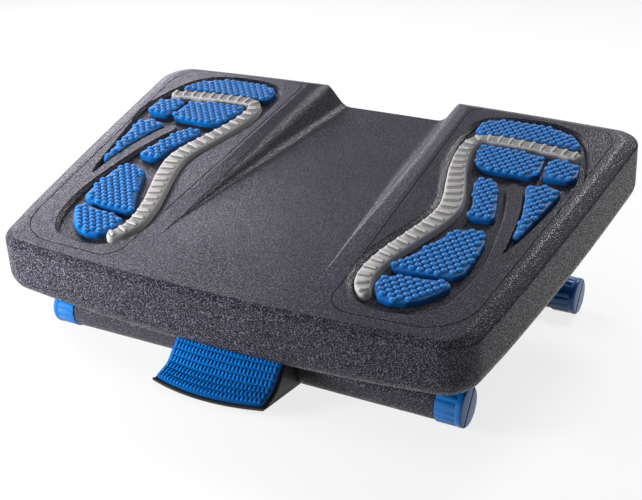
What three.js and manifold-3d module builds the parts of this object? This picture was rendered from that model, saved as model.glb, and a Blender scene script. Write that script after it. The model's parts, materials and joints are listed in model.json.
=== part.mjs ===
// A tilting under-desk footrest.
// Lengths are millimetres and angles are degrees. X points to the user's right,
// Y points away from the user, towards the toes, and Z points up from the floor.
// The deck swings on an axle above the base, a friction brake holds its tilt,
// and a sprung foot pedal lets the brake go.

import * as THREE from 'three';
import { mergeVertices } from 'three/addons/utils/BufferGeometryUtils.js';
import Module from 'manifold-3d';

const wasm = await Module();
wasm.setup();

// Clearances
const seatGap = 0.3;             // between pieces that rest on or fit in each other
const overrun = 1;               // how far a cut runs past the face it opens

// Axle and rest position
const hingeHeight = 86.5;
const restTilt = 10.1;
const axleRadius = 4;
const axleEndReach = 2.5;        // axle past its clips

// Deck, the tilting platform
const deckDepth = 333;
const deckFrontWidth = 422;
const deckRearWidth = 486;
const deckFrontHeight = 47.5;    // top edge above the front of the rim
const deckRearHeight = 70.5;
const deckCornerRadius = 34;
const deckEndBow = 8;
const deckSideBow = 2.5;
const deckDraft = 0.5;           // lean of the walls above the rim's rounding
const rimInset = 12.5;           // how far the rounded rim turns in
const rimRound = 15;             // height of that rounding
const deckWall = 3;
const bandWidth = 11;            // sloping band round the top
const heelBandInset = 3;         // the band is narrower along the front edge
const heelBandWidth = 4;
const bandRise = 4.5;
const rimBelowHinge = 18;        // at the front edge
const rimSweep = 16;             // the rim's rise to the rear edge
const rimArch = 6;               // the rim's rise from the middle to the sides
const ribThickness = 2.5;
const ribHeight = 18;            // ribs hang this far below the sloping top
const crossRibOffset = 80;
const sideRibOffset = 88;

// Valley between the two foot panels
const valleyDepth = 26;
const valleyFloorWidth = 88;
const valleyRidgeWidth = 130;
const valleyTipWidth = 148;
const valleyTipSetback = 76;     // from the deck's front edge to where the valley starts
const valleyBlend = 22;          // length over which the floor leaves the panels
const valleyBlendDepth = 1.4;
const shoulderWidth = 14;        // the panels fall away over this width beside the valley
const shoulderDrop = 4;

// Foot recesses, pads and the ribbed strip
const footMargin = 26.5;         // deck edge to foot outline, heel and toe
const footWidth = 120;
const footSideMargin = 77;       // deck's side to the middle of a foot, at mid depth
const footShift = 8;
const pocketDepth = 6.5;
const pocketLip = 7;             // widest slope of the recess's edge
const padRise = 0.5;             // pad top above the panel
const padEdge = 1;               // bevel round a pad's top
const padCorner = 5;
const stripRise = 3.5;
const stripWidth = 16;
const stripEdge = 1.2;
const pinRadius = 2.4;           // moulded pins that hold pads and strips
const pinReach = 2;              // pin past the underside of the recess floor

// Brackets, brake sector and their screws
const bracketThickness = 5;
const bracketHubRadius = 11;
const bracketHalfLength = 28;
const bracketFlangeWidth = 20;
const flangeThickness = 4;
const flangeAboveHinge = 24;     // top face of the screwed flanges
const bracketScrewSpacing = 40;
const screwRadius = 2;
const screwHeadRadius = 4;
const screwHeadHeight = 2.5;
const screwBite = 7.5;           // thread length in a boss
const bossRadius = 5;
const sectorDrop = 20.5;         // brake pin to the sector's friction face
const sectorRimDepth = 5;
const sectorRimWidth = 16;
const sectorWeb = 6;
const sectorFlangeWidth = 32;
const sectorFlangeLength = 30;
const sectorScrewSpacing = 20;
const sectorHalfAngle = 38;

// Towers, bushes and clips
const towerThickness = 6;
const towerInset = 34;           // centre line to a tower's inner face
const towerHubRadius = 12;
const towerFootHalfLength = 22;
const bushWall = 2.7;
const bushFlangeRadius = 10;
const bushFlange = 1.3;
const clipRadius = 8;
const clipThickness = 1.2;
const clipMouth = 5;

// Base frame
const floorGap = 4;              // under the housing
const housingHeight = 32;
const housingWidth = 116;
const housingLength = 144;
const housingWall = 3;
const barRadius = 15;
const barWall = 3;
const frontCapSpan = 380;
const rearBarOffset = 126.5;
const rearCapSpan = 401;
const hubLength = 30;
const armRootNear = 26;          // where a rear arm leaves the housing
const armRootFar = 62;
const armHeight = 26;
const coverThickness = 3;
const coverScrewInset = 10;
const coverBossRadius = 4.5;

// End caps
const capRadius = 16.2;
const capLength = 22;
const capSole = 0.3;             // flat cut under a cap, which the footrest stands on
const capFluteDepth = 0.8;
const capFlutes = 16;
const capPlugLength = 12;
const capSlotWidth = 2.6;
const capSlotDepth = 2;
const capSlotLean = -33;         // its top leans to the rear
const capPlateLength = 5;        // plain ring at the outer end of a cap

// Pedal
const pedalGap = 2;
const pedalPinRadius = 3;
const pedalPinStandoff = 16;     // pin in front of the housing
const pedalPinSetback = 13.5;    // pin behind the front bar's axis
const pedalPinHeight = 13.5;
const pedalHubRadius = 8;
const pedalWall = 3;
const pedalReach = 63.5;         // front bar's axis to the pedal's front edge at its ends
const pedalBulge = 9;
const pedalLip = 3.5;
const pedalHalfWidth = 51;
const pedalPadInset = 2.5;
const pedalPadThickness = 3.2;
const pedalToeClearance = 5.6;
const pedalHeelClearance = 1.6;
const pedalHeelSetback = 1.5;
const pedalLipHeight = 2.6;
const pedalRun = 39;             // pad's length along Y, from its front edge
const pedalRise = 30;            // pad's climb over that length
const tailHalfWidth = 7;
const noseRadius = 4;
const noseGap = 0.5;

// Brake arm
const brakePinRadius = 3;
const brakePinOffset = 30;       // pin in front of the axle
const brakePinHeight = 22;
const brakeArmHalfWidth = 7;
const brakeArmDepth = 8;
const brakeNoseOffset = 60;      // where the pedal's nose lifts the arm
const brakeArmOverhang = 4;
const shoeHalfLength = 14;
const liningThickness = 4;
const liningHalfAngle = 14;
const lugThickness = 4;
const lugHalfLength = 6.5;
const springRadius = 5.5;
const springWire = 1.3;
const springTurns = 5;

// Shares of the sizes above
// A foot's outline is written about the middle of the foot: across as a share of
// footWidth, outwards positive, and along as a share of footLength, toes positive.
// The third number of a pocket's point is its share of pocketLip.
const pocketShares = [
  [0.017, -0.507, 0.5], [-0.167, -0.518, 0.7], [-0.317, -0.502, 0.7], [-0.433, -0.450, 0.7],
  [-0.492, -0.385, 0.8], [-0.483, -0.304, 0.9], [-0.425, -0.214, 0.9], [-0.350, -0.129, 0.9],
  [-0.308, -0.050, 0.9], [-0.317, 0.007, 0.9], [-0.375, 0.089, 0.85], [-0.435, 0.170, 0.8],
  [-0.475, 0.261, 0.8], [-0.480, 0.350, 0.7], [-0.445, 0.425, 0.5], [-0.370, 0.470, 0.4],
  [-0.220, 0.492, 0.4], [0.020, 0.497, 0.4], [0.220, 0.480, 0.4], [0.370, 0.440, 0.4],
  [0.460, 0.370, 0.4], [0.520, 0.290, 0.4], [0.550, 0.225, 0.35], [0.535, 0.165, 0.25],
  [0.500, 0.120, 0.18], [0.455, 0.020, 0.15], [0.410, -0.075, 0.15], [0.372, -0.150, 0.12],
  [0.338, -0.187, 0.1], [0.325, -0.140, 0.12], [0.300, -0.045, 0.15], [0.250, 0.052, 0.18],
  [0.185, 0.118, 0.2], [0.125, 0.142, 0.2], [0.092, 0.122, 0.25], [0.133, 0.071, 0.3],
  [0.195, -0.020, 0.35], [0.245, -0.140, 0.35], [0.275, -0.261, 0.35], [0.262, -0.357, 0.4],
  [0.205, -0.440, 0.4], [0.118, -0.490, 0.4],
];

// Pad outlines, and the places of the moulded pins under each pad.
const padShares = {
  toe: {
    outlineShares: [
      [-0.383, 0.377], [-0.383, 0.430], [-0.325, 0.460], [-0.180, 0.468], [0.017, 0.471],
      [0.183, 0.457], [0.300, 0.434], [0.372, 0.395], [0.392, 0.363], [0.000, 0.374],
    ],
    pinShares: [[-0.200, 0.422], [0.220, 0.412]],
  },
  ball: {
    outlineShares: [
      [-0.275, 0.312], [0.175, 0.302], [0.210, 0.280], [0.233, 0.208], [0.185, 0.186],
      [-0.140, 0.186], [-0.208, 0.204], [-0.262, 0.262],
    ],
    pinShares: [[-0.130, 0.250], [0.125, 0.242]],
  },
  outer_ball: {
    outlineShares: [
      [0.252, 0.297], [0.433, 0.286], [0.468, 0.265], [0.483, 0.222], [0.442, 0.197],
      [0.272, 0.193],
    ],
    pinShares: [[0.365, 0.243]],
  },
  arch: {
    outlineShares: [
      [-0.125, 0.136], [0.000, 0.133], [0.050, 0.090], [0.112, 0.010], [0.150, -0.050],
      [0.020, -0.060], [-0.022, -0.050], [-0.040, 0.002], [-0.130, 0.106],
    ],
    pinShares: [[-0.035, 0.080], [0.058, -0.010]],
  },
  outer_edge: {
    outlineShares: [
      [0.205, 0.140], [0.362, 0.152], [0.445, 0.134], [0.420, 0.052], [0.388, -0.040],
      [0.352, -0.132], [0.312, 0.000], [0.258, 0.080],
    ],
    pinShares: [[0.335, 0.085]],
  },
  heel_upper: {
    outlineShares: [
      [-0.030, -0.128], [0.083, -0.114], [0.158, -0.122], [0.190, -0.160], [0.198, -0.243],
      [0.190, -0.304], [0.150, -0.327], [0.000, -0.336], [-0.215, -0.342], [-0.240, -0.328],
      [-0.200, -0.286], [-0.125, -0.221], [-0.065, -0.160],
    ],
    pinShares: [[-0.060, -0.282], [0.100, -0.180]],
  },
  heel_lower: {
    outlineShares: [
      [-0.265, -0.388], [-0.190, -0.370], [-0.025, -0.361], [0.125, -0.350], [0.170, -0.364],
      [0.125, -0.400], [0.058, -0.438], [-0.025, -0.464], [-0.117, -0.475], [-0.192, -0.468],
      [-0.250, -0.442], [-0.275, -0.412],
    ],
    pinShares: [[-0.140, -0.420]],
  },
};

// The strip's centre line, with its width as a share of stripWidth as the third number.
const stripShares = [
  [0.395, 0.328, 0.56], [0.208, 0.340, 0.6], [0.000, 0.347, 0.62], [-0.208, 0.350, 0.62],
  [-0.320, 0.338, 0.66], [-0.358, 0.286, 0.7], [-0.325, 0.186, 0.8], [-0.260, 0.100, 0.92],
  [-0.196, 0.018, 1], [-0.175, -0.043, 1], [-0.208, -0.121, 0.94], [-0.275, -0.207, 0.88],
  [-0.342, -0.296, 0.82], [-0.370, -0.386, 0.78], [-0.345, -0.432, 0.7], [-0.305, -0.458, 0.56],
];
const stripPinShares = [0.06, 0.44, 0.94];

// Places along a bowed side of the deck, as shares of half its length.
const endShares = [-0.7, -0.35, 0, 0.35, 0.7];
const sideShares = [-0.6, -0.2, 0.2, 0.6];

// Places across the pedal where its front bulge is followed, as shares of half its width.
const bulgeShares = [-0.67, -0.33, 0, 0.33, 0.67];

// The pedal pad's curve: shares of pedalRun and of pedalRise.
const pedalCurveShares = [[0, 0], [0.36, 0.16], [0.56, 0.43], [0.74, 0.69], [1, 1]];

// Sizes that follow from those above
const footLength = deckDepth - 2 * footMargin;
const footSpacing = (deckFrontWidth + deckRearWidth) / 2 - 2 * footSideMargin;
const panelSlope = Math.atan2(deckRearHeight - deckFrontHeight, deckDepth);
const panelCentreHeight = (deckFrontHeight + deckRearHeight) / 2 + bandRise - rimBelowHinge;
const sectorRadius = hingeHeight - brakePinHeight - sectorDrop;
const barAxisHeight = capRadius - capSole;
const housingTop = floorGap + housingHeight;
const pedalPinOffset = housingLength / 2 + pedalPinStandoff;
const frontBarOffset = pedalPinOffset + pedalPinSetback;
const frontBarEnd = frontCapSpan / 2 - capLength - seatGap;
const rearHubEnd = rearCapSpan / 2 - capLength - seatGap;
const bushRadius = axleRadius + seatGap + bushWall;
const bracketInset = towerInset + towerThickness + seatGap + bushFlange + seatGap;
const clipInset = bracketInset + bracketThickness + seatGap;
const bracketBossInset = bracketInset + bracketFlangeWidth - bossRadius - bracketThickness / 2;
const coverBottom = floorGap;
const coverTop = coverBottom + coverThickness;
const armBottom = brakePinHeight - brakeArmDepth / 2;
const cheekInset = pedalHalfWidth + pedalGap;

const roundSides = 24;
const smallSides = 12;
const pinSides = 8;
const ringSides = 32;
const cornerStepAngle = 14;      // turning per facet at the deck's corners
const padStepAngle = 40;
const degrees = THREE.MathUtils.degToRad;

// Solids

// Levels of points, each a closed ring, become a closed solid. flat gives a point's
// place in 2D, and guide is the ring whose triangles close both ends.
function loft(levels, flat = (p) => new THREE.Vector2(p.x, p.y), guide = levels[0]) {
  const count = levels[0].length;
  const positions = levels.flatMap((level) => level.flatMap((p) => [p.x, p.y, p.z]));
  const outline = guide.map(flat);
  const turned = THREE.ShapeUtils.isClockWise(outline);
  const last = (levels.length - 1) * count;
  const triangles = [];
  const add = (a, b, c) => triangles.push(turned ? [a, c, b] : [a, b, c]);
  for (let row = 0; row < last; row += count) {
    for (let i = 0; i < count; i += 1) {
      const a = row + i;
      const b = row + ((i + 1) % count);
      add(a, b, b + count);
      add(a, b + count, a + count);
    }
  }
  for (const [a, b, c] of THREE.ShapeUtils.triangulateShape(outline, [])) {
    const upright = new THREE.Vector2().subVectors(outline[b], outline[a])
      .cross(new THREE.Vector2().subVectors(outline[c], outline[a])) > 0;
    const [p, q] = upright === turned ? [c, b] : [b, c];
    add(a, q, p);
    add(last + a, last + p, last + q);
  }
  return closedSolid(positions, triangles);
}

// Builds a solid and turns it right side out if its volume comes out negative.
function closedSolid(positions, triangles) {
  let volume = 0;
  const corner = (i) => new THREE.Vector3().fromArray(positions, 3 * i);
  for (const [a, b, c] of triangles) volume += corner(a).dot(corner(b).cross(corner(c)));
  if (volume < 0) triangles.forEach((triangle) => triangle.reverse());
  return new wasm.Manifold(new wasm.Mesh({
    numProp: 3,
    vertProperties: new Float32Array(positions),
    triVerts: new Uint32Array(triangles.flat()),
  }));
}

function solidOf(geometry) {
  const bare = new THREE.BufferGeometry();
  bare.setAttribute('position', geometry.getAttribute('position'));
  if (geometry.index) bare.setIndex(geometry.index);
  const merged = mergeVertices(bare);
  return new wasm.Manifold(new wasm.Mesh({
    numProp: 3,
    vertProperties: new Float32Array(merged.getAttribute('position').array),
    triVerts: new Uint32Array(merged.index.array),
  }));
}

function join(...solids) {
  return solids.flat().reduce((sum, solid) => sum.add(solid));
}

function cut(solid, ...cutters) {
  return cutters.flat().reduce((rest, cutter) => rest.subtract(cutter), solid);
}

function block(x0, x1, y0, y1, z0, z1) {
  const box = new THREE.BoxGeometry(x1 - x0, y1 - y0, z1 - z0);
  box.translate((x0 + x1) / 2, (y0 + y1) / 2, (z0 + z1) / 2);
  return solidOf(box);
}

// A round bar along X from x0 to x1, about the line at y, z.
function roundX(x0, x1, y, z, radius, sides = roundSides) {
  const bar = new THREE.CylinderGeometry(radius, radius, x1 - x0, sides);
  bar.rotateZ(-Math.PI / 2);
  bar.translate((x0 + x1) / 2, y, z);
  return solidOf(bar);
}

// A round bar along Z from z0 to z1, about the line at x, y.
function roundZ(x, y, z0, z1, radius, sides = smallSides) {
  const bar = new THREE.CylinderGeometry(radius, radius, z1 - z0, sides);
  bar.rotateX(Math.PI / 2);
  bar.translate(x, y, (z0 + z1) / 2);
  return solidOf(bar);
}

// An outline in Y and Z pulled along X.
function prismX(outline, x0, x1) {
  const ring = (x) => outline.map(([y, z]) => new THREE.Vector3(x, y, z));
  return loft([ring(x0), ring(x1)], (p) => new THREE.Vector2(p.y, p.z));
}

// An outline in X and Y pulled along Z.
function prismZ(outline, z0, z1) {
  const ring = (z) => outline.map(([x, y]) => new THREE.Vector3(x, y, z));
  return loft([ring(z0), ring(z1)]);
}

// Points of an arc about y, z, from one angle to another.
function arc(y, z, radius, from, to, steps) {
  const points = [];
  for (let i = 0; i <= steps; i += 1) {
    const angle = degrees(from + ((to - from) * i) / steps);
    points.push([y + radius * Math.cos(angle), z + radius * Math.sin(angle)]);
  }
  return points;
}

// Rounds the corners of a closed outline, in steps of about stepAngle of turning.
function filleted(points, stepAngle) {
  return points.flatMap(({ at, radius }, i) => {
    const before = points[(i + points.length - 1) % points.length].at;
    const after = points[(i + 1) % points.length].at;
    const back = before.clone().sub(at);
    const ahead = after.clone().sub(at);
    const half = Math.acos(back.clone().normalize().dot(ahead.clone().normalize())) / 2;
    const steps = Math.round((180 - 2 * THREE.MathUtils.radToDeg(half)) / stepAngle);
    if (!radius || !steps) return [at];
    const reach = Math.min(radius / Math.tan(half), 0.45 * back.length(), 0.45 * ahead.length());
    const start = at.clone().add(back.setLength(reach));
    const end = at.clone().add(ahead.setLength(reach));
    return roundCorner(start, at, end, Math.sin(half), steps);
  });
}

// Points of a circular arc that leaves start and reaches end along the lines to corner.
function roundCorner(start, corner, end, pull, steps) {
  const points = [];
  for (let i = 0; i <= steps; i += 1) {
    const t = i / steps;
    const weights = [(1 - t) * (1 - t), 2 * t * (1 - t) * pull, t * t];
    const point = start.clone().multiplyScalar(weights[0]);
    point.addScaledVector(corner, weights[1]).addScaledVector(end, weights[2]);
    points.push(point.divideScalar(weights[0] + weights[1] + weights[2]));
  }
  return points;
}

// Moves each point of a closed outline inwards by its own distance.
function inset(points, distances) {
  const inside = THREE.ShapeUtils.isClockWise(points) ? -1 : 1;
  return points.map((point, i) => {
    const before = points[(i + points.length - 1) % points.length];
    const after = points[(i + 1) % points.length];
    const along = after.clone().sub(before).normalize();
    const distance = typeof distances === 'number' ? distances : distances[i];
    return new THREE.Vector2(point.x - inside * along.y * distance,
      point.y + inside * along.x * distance);
  });
}

// Deck outline and heights

function halfWidthAt(y) {
  const middle = (deckFrontWidth + deckRearWidth) / 4;
  return middle + ((deckRearWidth - deckFrontWidth) / 2) * (y / deckDepth);
}

// The deck's barrel-shaped outline, inset all round, with its own distance at the heel edge.
function deckOutline(distance, heelDistance = distance) {
  const halfDepth = deckDepth / 2 - distance;
  const heel = (share) => deckDepth / 2 - heelDistance - deckEndBow * share * share;
  const cornerRadius = Math.max(deckCornerRadius - distance, deckCornerRadius / 2);
  const side = (share) => halfWidthAt(share * halfDepth) - distance - deckSideBow * share * share;
  const end = (share) => halfDepth - deckEndBow * share * share;
  const place = (x, y, radius = 0) => ({ at: new THREE.Vector2(x, y), radius });
  const points = [
    ...endShares.map((s) => place(s * side(-1), -heel(s))),
    place(side(-1), -heel(1), cornerRadius),
    ...sideShares.map((s) => place(side(s), s * halfDepth)),
    place(side(1), end(1), cornerRadius),
    ...endShares.map((s) => place(-s * side(1), end(s))),
    place(-side(1), end(1), cornerRadius),
    ...sideShares.map((s) => place(-side(-s), -s * halfDepth)),
    place(-side(-1), -heel(1), cornerRadius),
  ];
  return filleted(points, cornerStepAngle);
}

// Height of the foot panels' plane above the hinge.
function panelHeight(y) {
  return panelCentreHeight + y * Math.tan(panelSlope);
}

// The lower rim's height, which sweeps up to the rear and arches up to the sides.
function rimHeight(y, x) {
  const share = THREE.MathUtils.clamp(y / deckDepth + 0.5, 0, 1);
  const across = x / halfWidthAt(y);
  return rimSweep * share * share + rimArch * across * across - rimBelowHinge;
}

function deckRing(distance, heightAt, heelDistance = distance) {
  const outline = deckOutline(distance, heelDistance);
  return outline.map((p) => new THREE.Vector3(p.x, p.y, heightAt(p.y, p.x)));
}

// The valley's cross-sections from front to rear: place, depth, half widths and shoulder.
function valleySections() {
  const front = -deckDepth / 2;
  const tip = front + valleyTipSetback;
  const rear = deckDepth / 2;
  const slope = (valleyDepth - valleyBlendDepth) / (rear - tip - valleyBlend);
  const half = (share) => ({
    floor: THREE.MathUtils.lerp(valleyTipWidth, valleyFloorWidth, share) / 2,
    ridge: THREE.MathUtils.lerp(valleyTipWidth, valleyRidgeWidth, share) / 2,
    drop: shoulderDrop * share,
  });
  const past = (rear + overrun - tip) / (rear - tip);
  const blendShare = valleyBlend / (rear - tip);
  return [
    { y: tip - valleyBlend, depth: -valleyBlendDepth / 2, ...half(0) },
    { y: tip, depth: valleyBlendDepth / 7, ...half(blendShare / 3) },
    { y: tip + valleyBlend, depth: valleyBlendDepth, ...half(blendShare) },
    { y: rear + overrun, depth: valleyDepth + slope * overrun, ...half(past) },
  ];
}

// The valley as a solid, swollen by a wall's thickness for the skin below it.
function valleySolid(swell) {
  const top = deckRearHeight;
  const rings = valleySections().map(({ y, depth, floor, ridge, drop }) => {
    const panel = panelHeight(y) - swell;
    const low = panel - depth;
    const wide = ridge + swell / 2;
    const half = [
      [Math.min(floor + swell / 2, wide - seatGap), low],
      [wide, Math.max(panel - drop, low + seatGap)],
      [wide + shoulderWidth, panel + seatGap],
      [wide + shoulderWidth, top],
    ];
    const mirrored = half.map(([x, z]) => [-x, z]).reverse();
    return [...mirrored, ...half].map(([x, z]) => new THREE.Vector3(x, y, z));
  });
  return loft(rings, (p) => new THREE.Vector2(p.x, p.z));
}

// Foot recesses and pads

function footPoint([across, along], side) {
  const x = footSpacing / 2 + across * footWidth;
  const y = footShift + along * footLength;
  return new THREE.Vector2(side * x, y);
}

// Turns a solid built flat on the panel into its place on the sloping panel.
function onPanel(solid) {
  const place = new THREE.Matrix4().makeRotationX(panelSlope);
  place.setPosition(0, 0, panelCentreHeight);
  return solid.transform(place.elements);
}

// The pocket's edge, with the width of its sloping lip at each point.
function pocketOutline(side) {
  return {
    edge: pocketShares.map((share) => footPoint(share, side)),
    lip: pocketShares.map((share) => share[2] * pocketLip),
  };
}

function flatRing(points, z) {
  return points.map((p) => new THREE.Vector3(p.x, p.y, z));
}

function pocketCut(side) {
  const { edge, lip } = pocketOutline(side);
  const slopeDepth = pocketDepth - 2 * padEdge;
  return onPanel(loft([
    flatRing(inset(edge, lip), -pocketDepth),
    flatRing(inset(edge, lip), -slopeDepth),
    flatRing(edge, 0),
    flatRing(edge, overrun),
  ], undefined, edge));
}

function pocketTub(side) {
  const { edge, lip } = pocketOutline(side);
  return onPanel(loft([
    flatRing(inset(edge, lip.map((width) => width - deckWall)), -pocketDepth - deckWall),
    flatRing(inset(edge, -deckWall), -deckWall / 2),
  ], undefined, edge));
}

function padOutline(name, side) {
  const points = padShares[name].outlineShares.map((share) => ({
    at: footPoint(share, side),
    radius: padCorner,
  }));
  return filleted(points, padStepAngle);
}

function pinSolids(places, radius, low) {
  return places.map((p) => roundZ(p.x, p.y, low, -pocketDepth + padEdge, radius, pinSides));
}

function padPins(name, side) {
  return padShares[name].pinShares.map((share) => footPoint(share, side));
}

function padSolid(name, side) {
  const outline = padOutline(name, side);
  const bottom = seatGap - pocketDepth;
  const plate = loft([
    flatRing(outline, bottom),
    flatRing(outline, padRise - padEdge),
    flatRing(inset(outline, padEdge), padRise),
  ]);
  const pinLow = -pocketDepth - deckWall - pinReach;
  return onPanel(join(plate, pinSolids(padPins(name, side), pinRadius, pinLow)));
}

function stripCurve(side) {
  const points = stripShares.map((share) => {
    const place = footPoint(share, side);
    return new THREE.Vector3(place.x, place.y, (share[2] * stripWidth) / 2);
  });
  return new THREE.CatmullRomCurve3(points, false, 'centripetal');
}

function stripPins(side) {
  const curve = stripCurve(side);
  return stripPinShares.map((share) => {
    const p = curve.getPoint(share);
    return new THREE.Vector2(p.x, p.y);
  });
}

// The strip's outline: one edge forwards, a round end, the other edge back, a round end.
function stripOutline(side) {
  const curve = stripCurve(side);
  const steps = 2 * (stripShares.length - 1);
  const left = [];
  const right = [];
  for (let i = 0; i <= steps; i += 1) {
    const p = curve.getPoint(i / steps);
    const along = curve.getTangent(i / steps).setZ(0).normalize();
    left.push(new THREE.Vector2(p.x - along.y * p.z, p.y + along.x * p.z));
    right.push(new THREE.Vector2(p.x + along.y * p.z, p.y - along.x * p.z));
  }
  return [
    ...left,
    ...roundEnd(left[steps], right[steps]),
    ...right.reverse(),
    ...roundEnd(right[steps], left[0]),
  ];
}

// The points between from and to on the half circle ahead of them.
function roundEnd(from, to) {
  const middle = from.clone().add(to).divideScalar(2);
  const reach = from.clone().sub(middle);
  const out = new THREE.Vector2(-reach.y, reach.x);
  return [45, 90, 135].map((angle) => middle.clone()
    .addScaledVector(reach, Math.cos(degrees(angle)))
    .addScaledVector(out, -Math.sin(degrees(angle))));
}

function stripSolid(side) {
  const outline = stripOutline(side);
  const bottom = seatGap - pocketDepth;
  const bar = loft([
    flatRing(outline, bottom),
    flatRing(outline, stripRise - stripEdge),
    flatRing(inset(outline, stripEdge), stripRise),
  ]);
  const pinLow = -pocketDepth - deckWall - pinReach;
  return onPanel(join(bar, pinSolids(stripPins(side), pinRadius, pinLow)));
}

function pinHoles(side) {
  const places = Object.keys(padShares).flatMap((name) => padPins(name, side));
  places.push(...stripPins(side));
  const low = -pocketDepth - deckWall - pinReach - overrun;
  return places.map((p) => onPanel(
    roundZ(p.x, p.y, low, -pocketDepth + overrun, pinRadius + seatGap, pinSides),
  ));
}

// Places of the screws that hold the brackets and the brake sector to the deck.
function bracketScrewPlaces(side) {
  return [-1, 1].map((end) => [side * bracketBossInset, (end * bracketScrewSpacing) / 2]);
}

const sectorScrewPlaces = [[-sectorScrewSpacing / 2, 0], [sectorScrewSpacing / 2, 0]];

// Deck shell: outer form, less the valley, the recesses and the hollow inside
function deckShell() {
  const panel = (y) => panelHeight(y);
  const edge = (y) => panel(y) - bandRise;
  const lip = rimInset + deckWall;
  const rounding = [90, 60, 30, 0].map((angle) => {
    const turnedIn = (rimInset - deckDraft) * (1 - Math.cos(degrees(angle)));
    const rise = rimRound * (1 - Math.sin(degrees(angle)));
    return deckRing(deckDraft + turnedIn, (y, x) => rimHeight(y, x) + rise);
  });
  const outer = loft([
    deckRing(lip + overrun, rimHeight),
    ...rounding,
    deckRing(0, edge, heelBandInset),
    deckRing(bandWidth, panel, heelBandInset + heelBandWidth),
  ]);
  const screwPlaces = [...bracketScrewPlaces(-1), ...bracketScrewPlaces(1), ...sectorScrewPlaces];
  const bossLow = flangeAboveHinge + seatGap;
  const bosses = screwPlaces.map(([x, y]) => roundZ(x, y, bossLow, deckRearHeight, bossRadius));
  const pilots = screwPlaces.map(([x, y]) => roundZ(x, y, bossLow - overrun,
    bossLow + screwBite + overrun / 2, screwRadius + seatGap));
  const halfRib = ribThickness / 2;
  const ribs = [-1, 1].flatMap((side) => {
    const rib = onPanel(block(-halfRib, halfRib, -deckDepth / 2, deckDepth / 2, -ribHeight, 0));
    const across = onPanel(block(-deckRearWidth / 2, deckRearWidth / 2,
      -halfRib, halfRib, -ribHeight, 0));
    return [rib.translate([side * sideRibOffset, 0, 0]),
      across.translate([0, side * crossRibOffset, side * crossRibOffset * Math.tan(panelSlope)])];
  });
  const hollow = loft([
    deckRing(lip, () => -2 * rimBelowHinge),
    deckRing(lip, rimHeight),
    deckRing(deckDraft + deckWall, (y, x) => rimHeight(y, x) + rimRound),
    deckRing(deckWall + bandRise / 2, (y) => edge(y) - deckWall),
    deckRing(bandWidth + deckWall, (y) => panel(y) - deckWall),
  ]);
  const cavity = cut(hollow, valleySolid(deckWall), pocketTub(-1), pocketTub(1), bosses, ribs);
  return cut(outer, valleySolid(0), pocketCut(-1), pocketCut(1), cavity,
    pinHoles(-1), pinHoles(1), pilots);
}

// Pieces that carry the deck on the axle

function bracketSolid(side) {
  const x = side > 0 ? [bracketInset, bracketInset + bracketThickness]
    : [-bracketInset - bracketThickness, -bracketInset];
  const flangeX = side > 0 ? [bracketInset, bracketInset + bracketFlangeWidth]
    : [-bracketInset - bracketFlangeWidth, -bracketInset];
  const flangeLow = flangeAboveHinge - flangeThickness;
  const plate = prismX([
    [-bracketHalfLength, flangeAboveHinge], ...arc(0, 0, bracketHubRadius, 190, 350, 8),
    [bracketHalfLength, flangeAboveHinge],
  ], x[0], x[1]);
  const flange = block(flangeX[0], flangeX[1], -bracketHalfLength, bracketHalfLength,
    flangeLow, flangeAboveHinge);
  const bore = roundX(x[0] - overrun, x[1] + overrun, 0, 0, axleRadius + seatGap);
  const holes = bracketScrewPlaces(side).map(([px, py]) => roundZ(px, py, flangeLow - overrun,
    flangeAboveHinge + overrun, screwRadius + seatGap));
  return cut(join(plate, flange), bore, holes);
}

function sectorSolid() {
  const flangeLow = flangeAboveHinge - flangeThickness;
  const from = 270 - sectorHalfAngle;
  const to = 270 + sectorHalfAngle;
  const fan = (inner, outer) => [
    ...arc(0, 0, outer, from, to, 12), ...arc(0, 0, inner, to, from, 12),
  ];
  const webHalf = sectorWeb / 2;
  const web = prismX([
    ...arc(0, 0, sectorRadius - sectorRimDepth / 2, from, to, 12),
    [bracketHubRadius, 0], [sectorFlangeLength / 2, flangeAboveHinge],
    [-sectorFlangeLength / 2, flangeAboveHinge], [-bracketHubRadius, 0],
  ], -webHalf, webHalf);
  const rim = prismX(fan(sectorRadius - sectorRimDepth, sectorRadius),
    -sectorRimWidth / 2, sectorRimWidth / 2);
  const flange = block(-sectorFlangeWidth / 2, sectorFlangeWidth / 2,
    -sectorFlangeLength / 2, sectorFlangeLength / 2, flangeLow, flangeAboveHinge);
  const bore = roundX(-webHalf - overrun, webHalf + overrun, 0, 0, axleRadius + seatGap);
  const holes = sectorScrewPlaces.map(([x, y]) => roundZ(x, y, flangeLow - overrun,
    flangeAboveHinge + overrun, screwRadius + seatGap));
  return cut(join(web, rim, flange), bore, holes);
}

// A screw that stands head down under a face at height low, with its thread above.
function screwSolid(x, y, low, length) {
  const headTop = low - seatGap;
  return join(
    roundZ(x, y, headTop - screwHeadHeight, headTop, screwHeadRadius, smallSides),
    roundZ(x, y, headTop - screwHeadHeight / 2, headTop + length, screwRadius, pinSides),
  );
}

function deckScrew([x, y]) {
  const low = flangeAboveHinge - flangeThickness;
  return screwSolid(x, y, low, flangeThickness + screwBite);
}

function axleSolid() {
  const reach = clipInset + clipThickness + axleEndReach;
  return roundX(-reach, reach, 0, 0, axleRadius);
}

function clipSolid(side) {
  const x0 = side > 0 ? clipInset : -clipInset - clipThickness;
  const x1 = x0 + clipThickness;
  const disc = roundX(x0, x1, 0, 0, clipRadius);
  const bore = roundX(x0 - overrun, x1 + overrun, 0, 0, axleRadius + seatGap);
  const mouth = block(x0 - overrun, x1 + overrun, -clipMouth / 2, clipMouth / 2,
    -clipRadius - overrun, 0);
  return cut(disc, bore, mouth);
}

// Base pieces

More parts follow.
